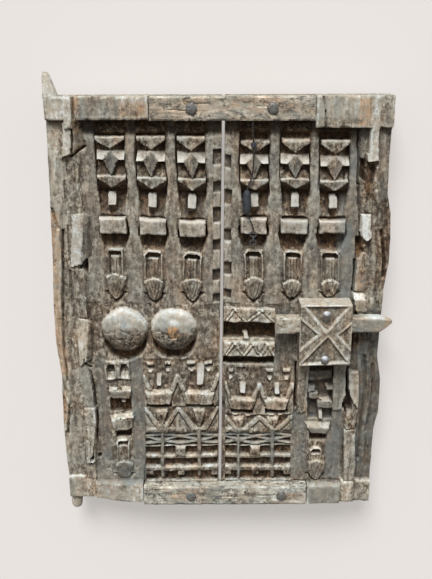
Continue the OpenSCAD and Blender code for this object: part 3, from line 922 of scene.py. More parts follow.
@dataclass(frozen=True)
class IronFinish:
    """Forged iron, partly rusted."""

    name: str
    slot: str
    scale: Colour = (0.1, 0.105, 0.1)
    worn: Colour = (0.21, 0.22, 0.215)
    rust: Colour = (0.1, 0.055, 0.03)
    rust_share: float = 0.20

    def material(self) -> bpy.types.Material:
        """Node material that reads Object coordinates and the mask of pale dusting and painted
        highlight.

        Returns:
            The material.
        """
        material, bench, shader = start_material(self.name)
        iron = bench.add("ShaderNodeGroup", node_tree=GROUPS[Group.IRON])
        bench.fill(iron, {
            "Vector": bench.add("ShaderNodeTexCoord").outputs["Object"],
            "Dust": bench.channels(bench.attribute("dust")["Color"])[0],
            "Scale Colour": self.scale, "Worn": self.worn, "Rust": self.rust,
            "Rust Share": self.rust_share})
        skin(bench, shader, *iron.outputs, 0.5, 0.0008)
        shader.inputs["Metallic"].default_value = 0.35
        return material


@dataclass(frozen=True)
class HideFinish:
    """Blackened leather or cord, matted with smoke."""

    name: str
    slot: str
    dark: Colour = (0.004, 0.0035, 0.003)
    light: Colour = (0.026, 0.024, 0.023)
    fibre: float = 900.0

    def material(self) -> bpy.types.Material:
        """Node material that reads Object coordinates.

        Returns:
            The material.
        """
        material, bench, shader = start_material(self.name)
        place = bench.add("ShaderNodeTexCoord").outputs["Object"]
        fibres = bench.noise(place, self.fibre, 4, 0.65)
        blotch = bench.noise(place, 140, 2, 0.5)
        share = bench.maths("MULTIPLY_ADD", blotch, 0.5, bench.maths("MULTIPLY", fibres, 0.5))
        skin(bench, shader, bench.mix(bench.between(share, 0.42, 0.62), self.dark, self.light),
             bench.between(fibres, 0.3, 0.7, 0.5, 0.85), fibres, 0.6, 0.0006)
        return material


Finish = WoodFinish | IronFinish | HideFinish


def set_material(piece: Piece, finish: Finish) -> None:
    """Gives a piece its finish's material and no other."""
    piece.data.materials.clear()
    piece.data.materials.append(bpy.data.materials.get(finish.name) or finish.material())


def dress(piece: Piece, finish: Finish, replaced: str = "", body: str = ROOT) -> None:
    """Gives a piece its material and its body, and hides the CAD node that it stands for.

    Args:
        piece, finish: the object and its finish.
        replaced, body: the CAD node that it replaces, if any, and the body that it rides on.
    """
    set_material(piece, finish)
    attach(piece, body)
    if replaced:
        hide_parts(replaced)
    log.info("%s: rides on %s, finish %s", piece.name, body, finish.name)


PLANK_WOOD = WoodFinish("smoked_plank_wood", "plank_wood")
BATTEN_WOOD = WoodFinish("worn_batten_wood", "batten_wood", Grain.ACROSS,
                         middle=(0.16, 0.148, 0.128), pale=(0.44, 0.405, 0.34),
                         bright=(0.7, 0.69, 0.63), tone=0.53, streaks=0.2, flecks=0.68)
LOCK_WOOD = WoodFinish("lock_case_wood", "lock_wood", tone=0.415, streaks=0.3, flecks=0.48)
BOLT_WOOD = WoodFinish("bolt_wood", "lock_wood", Grain.ACROSS, tone=0.54, streaks=0.3)
NAIL_IRON = IronFinish("nail_iron", "forged_iron")
LINK_IRON = IronFinish("small_link_iron", "link_iron", scale=(0.03, 0.034, 0.04),
                       worn=(0.1, 0.11, 0.12))
CORD_HIDE = HideFinish("blackened_cord", "cord_leather")
CHARM_HIDE = HideFinish("wrapped_hide", "charm_leather", dark=(0.012, 0.014, 0.018),
                        light=(0.035, 0.042, 0.055), fibre=420)


# ---- planks ----

@dataclass(frozen=True)
class Levels:
    """Depths and rows that both planks share."""

    rail: float = 61.5
    front: float = 50.0
    stile: float = 40.0
    floor: float = 26.0
    deep: float = 20.0
    rail_foot: float = 40.0
    register_foot: float = 376
    height: float = 780
    gap: float = 5.5
    gap_top_x: float = 8
    gap_foot_x: float = -0.5
    slot_v: tuple[float, ...] = (41, 60, 66, 150, 168, 209, 213, 243, 266, 275)
    slot_half: tuple[float, ...] = (26, 26, 26, 26, 25, 19, 23, 27, 20, 18)
    slot_floor: tuple[float, ...] = (25, 38, 29, 25, 25, 38, 30, 23, 29, 40)

    def gap_x(self, v: Array) -> Array:
        """Middle of the gap between the planks at a height."""
        return self.gap_top_x + (self.gap_foot_x - self.gap_top_x) * v / self.height


@dataclass(frozen=True)
class Column:
    """One column of the upper register: its middle, its drop and the rows of its carvings."""

    x: float
    drop: float = 0
    jog: float = 0
    rounded: bool = True
    gem: Point = (66, 162)
    bar: Point = (212.5, 241.5)
    arch: float = 271
    shield: Point = (321, 367)


@dataclass(frozen=True)
class Seeds:
    """What picks the random parts of a plank."""

    warp: int
    ground: int
    dishes: int
    grain: int
    wear: int
    walls: int


@dataclass(frozen=True)
class PlankSizes:
    """What sets one plank apart: its sizes, its lines on the ruled grid and its seeds.

    The outline holds v and how far the outer edge stands aside there. A seat is a window and
    its floor, and a split is a seed, a number and a window.
    """

    name: str
    node: str
    side: int
    columns: tuple[Column, ...]
    outline: tuple[Point, ...]
    squares: tuple[Point, ...]
    x_runs: tuple[Spot, ...]
    v_runs: tuple[Spot, ...]
    x_marks: tuple[float, ...]
    v_marks: tuple[float, ...]
    seats: tuple[tuple[float, ...], ...]
    splits: tuple[tuple[float, ...], ...]
    border: float
    inner: float
    ground: float
    calm_v: float
    register: Point
    wander: Point
    dish: Point
    seeds: Seeds


class Plank:
    """Carved plank: what the hinge-side and lock-side planks have in common."""

    own: PlankSizes

    def __init__(self, levels: Levels) -> None:
        """Keeps the shared levels."""
        self.s = levels
        self.relief: Relief

    def loose(self, x: Array, v: Array) -> Array | float:
        """Share of the wander that a place keeps."""
        return 1

    def droop(self, x: Array, v: Array) -> Array | float:
        """How far the foot hangs down."""
        return 0

    def warp(self, x: Array, v: Array) -> tuple[Array, Array]:
        """Hand-cut position of a point of the ruled grid.

        The outer edge follows the outline, the inner edge the gap, and the columns step down.
        Between them the lines wander, except near the ends.

        Args:
            x, v: the point on the grid.

        Returns:
            Its x and v on the plank.
        """
        s, own, out = self.s, self.own, self.own.side * x
        edge = np.interp(v, *zip(*own.outline))
        to_edge = smooth((out - own.border) / (300 - own.border))
        to_gap = smooth((26 - out) / 26)
        gap_edge = s.gap_x(v) + own.side * s.gap / 2
        calm = smooth((v - own.calm_v) / 30) * smooth((738 - v) / 25)
        calm = calm * (1 - to_gap) * (1 - to_edge * 0.6) * self.loose(x, v)
        first, (strong_x, strong_v) = own.seeds.warp, own.wander
        wander_x = (strong_x * rough(x, v, (70, 55), first, 2)
                    + 0.8 * rough(x, v, (14, 14), first + 2, 2))
        wander_v = (2.2 + strong_v * rough(x, v, (60, 70), first + 6, 2)
                    + 0.9 * rough(x, v, (14, 14), first + 8, 2))
        step = np.interp(x, [c.x for c in own.columns], [c.drop for c in own.columns])
        start, run = own.register
        register = smooth((v - start) / run) * smooth((392 - v) / 25)
        return (x + edge * to_edge + gap_edge * to_gap + wander_x * calm,
                v + wander_v * calm + step * register * (1 - to_edge) + self.droop(x, v))

    def back(self, x: Array, v: Array) -> Array:
        """Adzed back: shallow dishes, 0.3 to 2 mm deep."""
        seeds = self.own.seeds
        return (0.3 + 2 * scallops(x, v, self.own.dish, seeds.dishes)
                + 0.3 * (1 + rough(x, v, (9, 60), seeds.grain, 2)))

    def build(self) -> None:
        """Cuts the face from its ground to its finest marks, and builds the plank."""
        s, own = self.s, self.own
        x_marks = [*own.x_marks, *(c.x + k for c in own.columns for k in (-25, 25, -7.2, 7.2))]
        v_marks = [s.rail_foot, *own.v_marks, *(v for square in own.squares for v in square)]
        self.relief = r = Relief(ruled(own.x_runs, x_marks), ruled(own.v_runs, v_marks), s.stile)
        left, right = sorted((0, own.side * own.inner))
        index, x, v = r.part(left, right, 372, 752)
        r.d[index] = own.ground + 0.8 * rough(x, v, (22, 30), own.seeds.ground, 2)
        self.field(left, right)
        self.border()
        for column in own.columns:
            self.upper_column(column)
        self.notches()
        self.lower()
        self.rails()
        each(r.split, *own.splits)
        r.weather(own.seeds.wear, (3.5, 60), 0.75)
        each(r.sink, *own.seats)
        piece = carved_solid(own.name, r, self.warp, self.back, own.seeds.walls)
        dress(piece, PLANK_WOOD, own.node)

    def gem(self, column: Column, half: float = 25) -> None:
        """Double lozenge block at the head of a column.

        At a share t down its height and u across its half width, the front ends at a slanted
        line that runs up from the middle to each side. Below it a facet slopes out beside a
        ridged kite, a floor rises to a ledge, and the lower half ends at a second slanted line
        and falls back to its foot.

        Args:
            column, half: its column and half its width.
        """
        r, front = self.relief, self.s.front
        pocket, ledge, waist = 0.27, 0.455, 0.745
        v0, v1 = column.gem
        index, x, v = r.part(column.x - half, column.x + half, v0, v1)
        t = (v - v0) / (v1 - v0)
        t = t - column.jog * np.sin(t * math.pi)
        u = np.abs(x - column.x) / half
        line = 0.80 + 0.17 * (1 - u)
        slope = 17 * np.minimum(u * 1.2, 1)
        foot = front - 4 - 16 * held((t - line) / (1.001 - line))
        surface = np.select(
            [t < 0.075 + 0.17 * (1 - u), t < pocket, t < ledge, t < waist, t < line],
            [front, front - 3 - slope, front - 1 - slope * (ledge - t) / (ledge - pocket),
             28 + 13 * (t - ledge) / (waist - ledge), front], foot)
        kite = (u < np.interp(t, [0.258, ledge, waist], [0.02, 0.54, 0.03])) & (t > 0.25)
        kite &= t < waist
        surface = np.where(kite, front - 8 * u, surface)
        rise = np.minimum(np.where(t < 0.5, t, t - waist) / 0.02, 1)
        lip = (rise >= 0) & (rise < 1) & ((t < 0.04) | (t > 0.74)) & ~kite
        surface = surface - 2.6 * (1 - rise) * lip
        inset = np.minimum(half * (1 - u), v - v0)
        r.lift(index, surface - r.worn(index, inset, 1))
        # painted light: highlights on the facets that face up and on the ledge's lip, the rail's
        # painted shadow on the top wall, and painted shade on the right half and in the deep
        # pockets; the kite also takes a little slate
        shade = (x > column.x) * 0.35
        for kind, mask in (
                (PALE, ((t > 0.275) & (t < ledge) & ~kite) * 1), (PALE, lip * 0.6 * (t > 0.5)),
                (WARM, 0.9 * (v < v0 + 1)),
                (SLATE, kite * (0.25 + shade) + (t > waist) * (t < line) * shade),
                (WARM, ((surface < front - 7) & ~kite & ((t < pocket) | (t > 0.46))) * 0.7)):
            r.mark(index, kind, mask)

    def nose(self, x: float, v0: float, v1: float, width: float, top: float = 40,
             front: float = 50, peak: float = 0.52) -> None:
        """Peg whose face slopes out to a peak and is painted pale with a highlight, and whose foot
        falls back and is painted dark with shade.

        Args:
            x, v0, v1, width: middle, top, foot and full width.
            top, front: depth at its top and at its peak.
            peak: share of the height at which it stands out furthest.
        """
        r = self.relief
        index, gx, gv = r.part(x - width / 2, x + width / 2, v0, v1)
        t = (gv - v0) / (v1 - v0)
        surface = np.interp(t, [0, peak, peak + 0.1, 1], [top, front, front - 7, 31])
        half = width / 2 * np.interp(t, [0, 0.08, peak, peak + 0.15, 1], [0.75, 1, 1, 0.74, 0.66])
        inset = half - np.abs(gx - x)
        r.lift(index, np.where(inset > 0, surface - r.worn(index, inset, 1), 0))
        # painted highlight on the face that slopes up, with some slate on it, and painted shade on
        # the foot that faces down
        face = t < peak + 0.01
        r.mark(index, PALE, face * 1)
        r.mark(index, SLATE, (inset > 0) * face * 0.35)
        r.mark(index, WARM, (inset > 0) * (t > peak + 0.03) * 1)

    def arch(self, x: float, v0: float, v1: float, half: float, rounded: bool = True) -> None:
        """Arch: a low rim round a sunk band, with a ribbed block under the band.

        Args:
            x, v0, v1, half: middle, top, foot and half its width.
            rounded: whether its shoulders fall away.
        """
        r, rim_width, band, core = self.relief, 3.4, 14, 8.5
        index, gx, gv = r.part(x - half, x + half, v0, v1)
        away = np.abs(gx - x)
        fall = 10 * held((away / half - 0.45) / 0.55) ** 1.6 * rounded
        into = np.minimum(gv - v0 - fall, half - away)
        t = (gv - v0) / (v1 - v0)
        ribs = 42.5 + 1.3 * np.cos(away * 1.15)
        ledge = gv - v0 - fall * 0.5 - band
        inner = np.where(ledge < 0, 34, np.where(away < core, ribs, 39))
        surface = np.where(into < rim_width, 47.5 - 4 * t, inner)
        r.d[index] = np.where(into > 0, surface, r.d[index])
        # painted shade in the sunk band under the rim, and painted highlights on the ribbed block's
        # top edge and on the rim's top
        r.mark(index, WARM, ((surface < 36) & (into > rim_width)) * 0.7)
        r.mark(index, PALE, ((ledge > -1) & (ledge < 2.5) & (away < core)) * 0.8)
        r.mark(index, PALE, ((into > 0) & (into < rim_width) & (t < 0.3)) * 0.5)

    def shield(self, x: float, v0: float, v1: float, half: float, slate: float = 0) -> None:
        """Shield: a curved top edge over a body that tapers to a round foot, with incised lines.

        The top edge is lowest at its ends, by the square of the distance from the middle. The
        half width shrinks with the share of the height to the power 1.6.

        Args:
            x, v0, v1, half: middle, top, foot and half its width.
            slate: how far it is darkened to slate.
        """
        r = self.relief
        index, gx, gv = r.part(x - half - 5, x + half + 5, v0, v1 + 16)
        away = np.abs(gx - x)
        pit = (gv > v1 - 14) * smooth((1.4 * half * (1 - (gv - v1 + 14) / 30) - away) / 9)
        r.d[index] -= 6.5 * pit
        top = v0 + 6.5 * (away / half) ** 2
        t = held((gv - top) / (v1 - top))
        side = half * (1 - 0.5 * t ** 1.6) * np.sqrt(held((1.02 - t) / 0.16)) - away
        into = np.where(gv < v1, np.minimum(gv - top, side), -1)
        lines = 1.1 * np.sin(side / 2.6 * math.pi) * (t > 0.14) * (1 - slate)
        surface = self.s.front - 1 - 7 * t - lines
        r.lift(index, np.where(into > 0, surface, 0))
        r.mark(index, SLATE, (into > 0) * slate)
        r.mark(index, WARM, ((into > 2) & (t > 0.1)) * 0.22)
        # painted shadow in the pit under the shield
        r.mark(index, WARM, 0.95 * pit * (into <= 0))

    def upper_column(self, column: Column) -> None:
        """One column of the upper register, from its gem down to its shield.

        Args:
            column: its middle and its rows.
        """
        x, front, (top, foot) = column.x, self.s.front, column.bar
        self.gem(column)
        self.nose(x, column.gem[1] + 4, top + 1, 14.5, peak=0.5)
        self.relief.block(x - 24, x + 24, top, foot, front)
        self.relief.stain(PALE, x - 23, x + 23, top, foot, 0.7, 5)
        # painted highlight on the bar's top bevel, which faces up
        self.relief.facet(PALE, 0.8, (x - 24, top, front - 4), (x + 24, top, front - 4),
                          (x + 24, top + 3, front), (x - 24, top + 3, front))
        self.arch(x, column.arch, column.shield[0] + 3, 17.5 if column.rounded else 14,
                  column.rounded)
        self.shield(x, *column.shield, 17.5)

    def field(self, left: float, right: float) -> None:
        """Ground of the upper register: smooth stiles with a slot behind each column.

        The slot's half width and depth follow the height. Its sides are soft steps, and its
        middle sways with the height.

        Args:
            left, right: its sides.
        """
        r, s = self.relief, self.s
        index, x, v = r.part(left, right, s.rail_foot - 3, s.register_foot)
        sway = 1.6 * rough(v * 0 + 3.3, v, (9, 50), int(abs(left)) + 7, 2)
        away = np.min([np.abs(x - c.x - sway) for c in self.own.columns], axis=0)
        away = away - np.interp(v, s.slot_v, s.slot_half)
        stile = np.interp(v, [40, 58, 70], [31, 33, s.stile]) - 0.6 + 1.6 * smooth(away / 7)
        floor = np.interp(v, s.slot_v, s.slot_floor)
        floor = floor + 1.2 * rough(x, v, (11, 22), 77, 2)
        r.d[index] = floor + (stile - floor) * smooth(away / 1.8 + 0.5)
        r.mark(index, SLATE, 0.25 * smooth(away / 5))
        r.mark(index, PALE, 0.22 * smooth(away / 4))
        # painted shade in the slots, darker where they are deeper
        r.mark(index, WARM, 0.75 * (away < 0) * held((s.stile - floor) / 9))

    def breast(self, x: float, v: float, seed: int) -> None:
        """Breast: a flattened ball cut in facets, the lowest of the planes that touch it.

        The planes' normals follow a golden-angle spiral, and the ball's three radii scale them.
        The ground under its lower half is sunk by an ellipse and painted with the ball's shadow.
        The upper half takes a painted sheen and highlight, brightest along its top edge, and the
        lower half painted shade.

        Args:
            x, v, seed: its middle, and what picks the facets.
        """
        r = self.relief
        across, down, out, centre = 45.3, 43.5, 29.5, 35
        rng = np.random.default_rng(seed)
        index, gx, gv = r.part(x - 50, x + 50, v - 10, v + 70)
        ellipse = smooth((1.02 - np.hypot((gx - x) / 41, (gv - v - 25) / 39)) / 0.16)
        r.d[index] -= 14 * ellipse * smooth((gv - v - 10) / 14)
        # painted shadow of the ball on the sunk ground
        r.mark(index, WARM, 0.95 * ellipse * (gv > v + 20))
        index, gx, gv = r.part(x - across, x + across, v - down, v + down)
        px, pv = (gx - x) / across, (gv - v) / down
        count = 62
        number = np.arange(count) + 0.5
        lift = 1 - number / count * 0.95
        turn = number * math.pi * (3 - math.sqrt(5)) + rng.uniform(-0.5, 0.5, count)
        flat = np.sqrt(1 - lift ** 2)
        reach = rng.uniform(0.955, 0.998, count)
        planes = (reach[:, None, None] - px * (flat * np.cos(turn))[:, None, None]
                  - pv * (flat * np.sin(turn))[:, None, None]) / lift[:, None, None]
        plane, second = np.partition(planes, 1, axis=0)[:2]
        crease = np.exp(-((second - plane) / 0.014) ** 2)
        away = np.hypot(px, pv)
        within = away < 0.985
        r.stains[index] *= ~within[..., None]
        r.lift(index, np.where(within, centre + out * plane - 0.6 * crease, 0))
        tone = rng.uniform(0, 1, count)[planes.argmin(axis=0)]
        # slate patina over the whole ball; on the upper half more slate as a painted sheen and pale
        # as a painted highlight, strongest along the top edge; the lower half painted shade, darker
        # still in the cracks
        ragged = pv + 0.16 * rough(gx, gv, (16, 12), seed + 60, 3)
        upper = smooth(0.5 - (ragged + 0.08) * 4)
        brow = smooth((away - 0.7) / 0.2) * upper
        cracks = np.exp(-(rough(gx, gv, (22, 16), seed + 80, 3) / 0.13) ** 2) * (away < 0.85)
        lower_shade_and_cracks = (1 - upper) * (0.55 + 0.25 * tone + 0.6 * cracks)
        r.mark(index, SLATE, within * (0.25 + upper * (1 - brow) * (0.3 + 0.5 * tone)))
        r.mark(index, PALE, within * upper * np.maximum(0.75 * brow, 0.1 + 0.45 * tone))
        r.mark(index, WARM, within * held(lower_shade_and_cracks + 0.3 * crease * (1 - upper)))
        r.d[index] -= 2.4 * within * cracks * (1.15 - upper)

    def spot(self, kind: Stain, x: float, v: float, half_x: float, half_v: float,
             amount: float) -> None:
        """Marks an oval patch: strong in its middle, fading to its edge.

        Args:
            kind, amount: the stain and its strength.
            x, v, half_x, half_v: its middle and half sizes.
        """
        index, gx, gv = self.relief.part(x - half_x, x + half_x, v - half_v, v + half_v)
        away = np.hypot((gx - x) / half_x, (gv - v) / half_v)
        mask = held(amount * smooth((1 - away) * 1.6))
        if kind is FRESH:
            self.relief.stains[index + (PALE.value,)] *= 1 - mask
        self.relief.mark(index, kind, mask)

    def notches(self) -> None:
        """Row of sunk squares along the gap, with proud squares between them."""
        r, squares = self.relief, self.own.squares
        low, high = (0, 21) if self.own.side > 0 else (-13, 0)
        for number, (top, foot) in enumerate(squares):
            r.sink(low, high, top, foot, 33)
            # painted shade in the sunk squares
            r.stain(WARM, low, high, top, foot, 0.75, 2)
            if number:
                above = squares[number - 1][1]
                r.block(low, high, above, top, 43)
                r.stain(PALE, low, high, above, top, 0.45, 2)

    def eye(self, x0: float, x1: float, v: float) -> None:
        """Small lip over a slot painted dark with shade, with a pointed facet under it that faces
        up and is painted pale with a highlight.

        Args:
            x0, x1, v: its sides and the height of the slot.
        """
        r, mid = self.relief, (x0 + x1) / 2
        r.block(x0, x1, v - 6, v - 1, 46, 0.8)
        r.sink(x0, x1, v - 1, v + 3, 25)
        # painted shade in the slot and a painted highlight on the facet
        r.stain(WARM, x0, x1, v - 2, v + 4, 0.8, 1.5)
        r.facet(PALE, 0.6, (x0 + 1, v + 6, 37), (x1 - 1, v + 6, 37), (mid + 3, v + 14, 46),
                (mid - 3, v + 14, 46))

    def trapezoid(self, x0: float, x1: float, v0: float, v1: float) -> None:
        """Bar that narrows downwards under a sloping top, with a recess below it that is painted
        dark with shade.

        Args:
            x0, x1, v0, v1: its sides, top and foot.
        """
        r, front = self.relief, self.s.front
        r.sink(x0 + 2, x1 - 2, v1, v1 + 10, self.s.floor)
        # painted shade in the recess below
        r.stain(WARM, x0 + 2, x1 - 2, v1 + 1, v1 + 11, 0.9, 2)
        left, right = (x0 + 1, v0 + 6, front), (x1 - 1, v0 + 6, front)
        # painted highlight on the sloping top, which faces up
        r.facet(PALE, 0.35, (x0, v0, 42), (x1, v0, 42), right, left)
        r.facet(WARM, 0.2, left, right, (x1 - 6, v1, front - 1), (x0 + 6, v1, front - 1))

    def letter_a(self, x: float, sides: Point, rows: Point, spread: float, band: float) -> None:
        """Grooved triangle: a broad raised band round a smaller triangle.

        Args:
            x, sides: its middle, and the sides of the panel, which cut it off.
            rows, spread: its top and foot, and half its width at the foot.
            band: height of the band at its top.
        """
        r, (v0, v1) = self.relief, rows
        left, right = max(x - spread - 5, sides[0] - 2), min(x + spread + 5, sides[1] + 2)
        index, gx, gv = r.part(left, right, v0, v1)
        t = (gv - v0) / (v1 - v0)
        outer = 3 + (spread + 1) * t - np.abs(gx - x)
        inner = np.abs(gx - x) - spread * 0.68 * (gv - v0 - band) / (v1 - v0 - band)
        surface = np.where(inner > 0, 47, 44.5) - 5 * np.exp(-(inner / 1.4) ** 2)
        r.d[index] = np.where(outer > 0, surface - r.worn(index, outer, 0.8), r.d[index])
        r.mark(index, PALE, (outer > 0) * (inner > 1.5) * 0.25)

    def panel(self, x0: float, x1: float, posts: Point, peak: Point, *bars: tuple) -> None:
        """Lower panel: grooved triangles and bars over cross strands and rows between posts.

        Args:
            x0, x1, posts: its sides and the middles of its two posts.
            peak: x and v of the middle triangle's tip.
            bars: left, right, top and foot of each tapering bar.
        """
        r = self.relief
        index, gx, gv = r.part(x0, x1, peak[1] - 32, 641)
        r.d[index] = 39 + 1.5 * rough(gx, gv, (16, 12), 15, 2)
        r.mark(index, WARM, 0.35 + 0.3 * lattice_noise(gx / 12, gv / 10, 16))
        x, v = peak
        step = (posts[1] - posts[0]) / 2 + 1
        for tip in (x0, x, x1):
            self.letter_a(tip, (x0, x1), (v, v + 66), 24, 18)
        each(self.trapezoid, *bars)
        for post in posts:
            # painted highlight on the bevel over each post, which faces up
            r.facet(PALE, 0.4, (post - 12, v + 72, 42), (post + 12, v + 72, 42),
                    (post + 10, v + 77, 46), (post - 10, v + 77, 46))
            r.figure([(post - 11, v + 77), (post + 11, v + 77), (post + 2, v + 110),
                      (post - 2, v + 110)], 46, 5, 1)
            r.line((post, v + 84), (post, v + 110), 2, -3)
        for tip in (x0, x, x1):
            self.letter_a(tip, (x0, x1), (v + 69, 635), step * 0.86, 10)
        r.block(x0, x1, 630, 641, 45, 1.5)
        self.strands(x0, x1, posts)

    def strands(self, x0: float, x1: float, posts: Point) -> None:
        """Cross strands over dark gaps, then rows of bars between two posts.

        Each strand is a half-round ridge whose middle follows a cosine between the posts. A
        row slopes out under its top edge and then stands upright.

        Args:
            x0, x1, posts: its sides and the middles of the two posts.
        """
        r, s = self.relief, self.s
        index, gx, gv = r.part(x0, x1, 641, 671)
        wave = np.cos((gx - posts[0]) / (posts[1] - posts[0]) * TURN)
        r.d[index] = s.deep + 9
        for level, sag in ((643, 1), (648.5, -1.5), (656, 3.2), (664, -2.6)):
            away = np.abs(gv - level - sag * wave) / (3.1 + 0.5 * wave)
            r.lift(index, 36 + 5 * np.sqrt(held(1 - away ** 2)) - 60 * (away > 1))
        r.mark(index, SLATE, 0.8 * (r.d[index] > 35))
        for top, lip, foot in ((688.5, 690.5, 698), (714.5, 717, 726)):
            r.sink(x0, x1, top - 17, top, s.floor + 4)
            # painted shade in the recess above each row, and a painted highlight on the row's top,
            # which faces up
            r.stain(WARM, x0, x1, top - 13, top, 0.75, 2)
            r.facet(PALE, 0.15, (x0, top, 36), (x1, top, 36), (x1, lip, 44), (x0, lip, 44))
            r.facet(WARM, 0.2, (x0, lip, 44), (x1, lip, 44), (x1, foot, 43), (x0, foot, 43))
        # painted shade in the recess under the rows
        r.sink(x0, x1, 726, 749, s.floor + 2)
        r.stain(WARM, x0, x1, 726, 749, 0.8, 2)
        middle = (posts[0] + posts[1]) / 2
        r.block(middle - 10, middle + 10, 671, 692, 46)
        for x in (middle, x0 + 7, x1 - 7):
            r.block(x - 7, x + 7, 726, 738, 42)
        for x in posts:
            r.block(x - 4.2, x + 4.2, 632, 742, 43.5)
            r.stain(SLATE, x - 6, x + 6, 632, 742, 0.6, 1)
            r.stain(WARM, x - 6, x + 6, 632, 742, 0.35, 1)


class HingePlank(Plank):
    """Plank on the hinge side, with the pivots cut from it."""

    own = PlankSizes(
        "hinge_plank", "left_plank", -1,
        (Column(-191.4, -4, -0.02, rounded=False, shield=(319.5, 369)),
         Column(-120.5, 0, arch=272, shield=(324, 367)),
         Column(-49.5, 4, 0.02, shield=(322, 364))),
        outline=((0, 0), (180, -2), (390, -8.6), (450, -8.6), (525, -1.8),
                 (575, -3.6), (616, -4), (682, -3.5), (732, 0), (780, 0)),
        squares=((90, 116), (145, 164), (191, 219), (250, 271), (307, 328),
                 (353, 371)),
        x_runs=((-300, -150, 1.85), (-150, 0, 1.75)),
        v_runs=((0, 480, 1.85), (480, 740, 1.6), (740, 780, 2.2)),
        x_marks=(-267, -257, -246.5, -219, -172, -152.5, -121.5, -13, -118.8, -109.2, -45.8,
                 -36.2),
        v_marks=(541, 549, 566, 594, 636, 641, 671, 688, 698, 714, 726, 732, 749, 66, 109.7,
                 137.5, 166, 212.5, 241.5),
        seats=((-121.5, 0.5, -1, 41, 29.6), (-152.5, 0.5, 752.5, 781, 29.6)),
        splits=((7, 26, -296, -226, 50, 700), (8, 14, -165, -20, 60, 620)),
        border=246, inner=246, ground=40, calm_v=44, register=(20, 190),
        wander=(1.3, 1.4), dish=(38, 70), seeds=Seeds(11, 12, 5, 6, 31, 40))

    def droop(self, x: Array, v: Array) -> Array:
        """The foot hangs down away from the hinge-side edge."""
        return 8 * smooth((v - 742) / 30) * smooth((x + 246) / 60)

    def border(self) -> None:
        """Zigzag border along the hinge side: rough outer strip, long facets and pockets."""
        r = self.relief
        index, x, v = r.part(-300, -245, 0, 740)
        strip = np.interp(x, [-300, -287, -279, -266, -250, -245], [45, 48, 45, 48, 46, 41])
        lines = 1 * np.sin((x + v * 0.12) * 0.5 + 2.2 * rough(x, v, (30, 90), 5, 2))
        r.d[index] = strip + lines
        each(r.facet,
             (WARM, 0.35, (-277, 106, 45), (-258, 100, 45), (-243, 206, 48), (-263, 207, 50)),
             (WARM, 0.3, (-271, 309, 48), (-254, 301, 47), (-245, 400, 48), (-263, 400, 50)),
             (SLATE, 0.5, (-265, 501, 47), (-251, 489, 46), (-241, 583, 47), (-261, 583, 50)),
             (FRESH, 0.25, (-253, 36, 58), (-244, 36, 48), (-235, 86, 42), (-257, 103, 56)),
             (WARM, 0.3, (-242, 207, 50), (-233, 214, 42), (-234, 287, 41), (-254, 302, 51)),
             (WARM, 0.2, (-245, 404, 51), (-238, 412, 42), (-241, 486, 41), (-252, 488, 52)),
             (PALE, 0.5, (-266.4, 0, 58), (-252.7, 0, 58), (-260, 99, 57), (-276, 104.4, 57)),
             (PALE, 0.6, (-262.8, 207.3, 51), (-241.4, 205.6, 51), (-253.6, 299.7, 52),
              (-270.4, 307.2, 52)),
             (PALE, 0.4, (-262.8, 399.7, 51), (-244.5, 403.7, 51), (-250.7, 487.6, 53),
              (-264.6, 499.8, 53)),
             (PALE, 0.3, (-261.4, 583, 51), (-240.3, 583, 51), (-246, 700, 55), (-262, 700, 55)),
             (WARM, 0.2, (-262, 702, 48), (-246, 702, 48), (-243, 740, 49), (-263, 740, 50)))
        each(r.line, ((-260.5, 104), (-239, 86), 2.4, -18), ((-256, 309), (-243, 294), 2.4, -18),
             ((-256, 494), (-246, 502), 2.4, -18))
        each(r.hollow, ([(-254, 690), (-247, 687), (-247, 698), (-254, 699)], 26, 5),
             ([(-242, 688), (-234, 685), (-235, 696), (-242, 697)], 26, 5),
             ([(-253, 309), (-240, 288), (-243, 328)], 28, 5))
        each(r.line, ((-281, 236), (-285, 400), 2.6, -8), ((-285, 400), (-290, 530), 2.6, -7),
             ((-303, 540), (-286, 582), 4, 5), ((-286, 582), (-297, 635), 4, 4),
             ((-287, 580), (-292, 640), 3, -9), ((-256, 484), (-243, 529), 2, -6),
             ((-243, 529), (-239.5, 614), 2.4, -9), ((-239.5, 614), (-249, 690), 2.4, -9),
             ((-249, 690), (-242, 746), 2.2, -6), ((-298, 195), (-288, 232), 3, -6),
             ((-276, 110), (-270, 200), 3, -3.5), ((-272, 312), (-268, 398), 3, -5))
        # the first warm patch is the top rail's painted shadow
        each(r.stain, (WARM, -252, 0, 36, 64, 0.95), (FRESH, -309, -285, 200, 290, 0.5),
             (FRESH, -309, -287, 290, 520, 0.42), (PALE, -309, -286, 200, 520, 0.45),
             (FRESH, -309, -292, 555, 620, 0.6), (PALE, -300, -270, 0, 230, 0.4, 12),
             (PALE, -300, -276, 600, 780, 0.3, 8), (SLATE, -284, -262, 600, 700, 0.3, 8))

    def lower(self) -> None:
        """Breasts, the column of small carvings beside the border, and the panel."""
        r, floor = self.relief, self.s.floor
        self.breast(-178.3, 425.5, 3)
        self.breast(-86, 425.5, 8)
        # the pale spot above the right breast's tip is a painted highlight; the warm and fresh
        # spots are its worn tip
        each(self.spot, (PALE, -85, 406, 14, 9, 1), (WARM, -87, 424, 24, 15, 0.8),
             (FRESH, -87, 425, 13, 15, 1.8))
        r.facet(SLATE, 0.5, (-246, 700, 40), (-150, 700, 40), (-150, 748, 46), (-246, 748, 46))
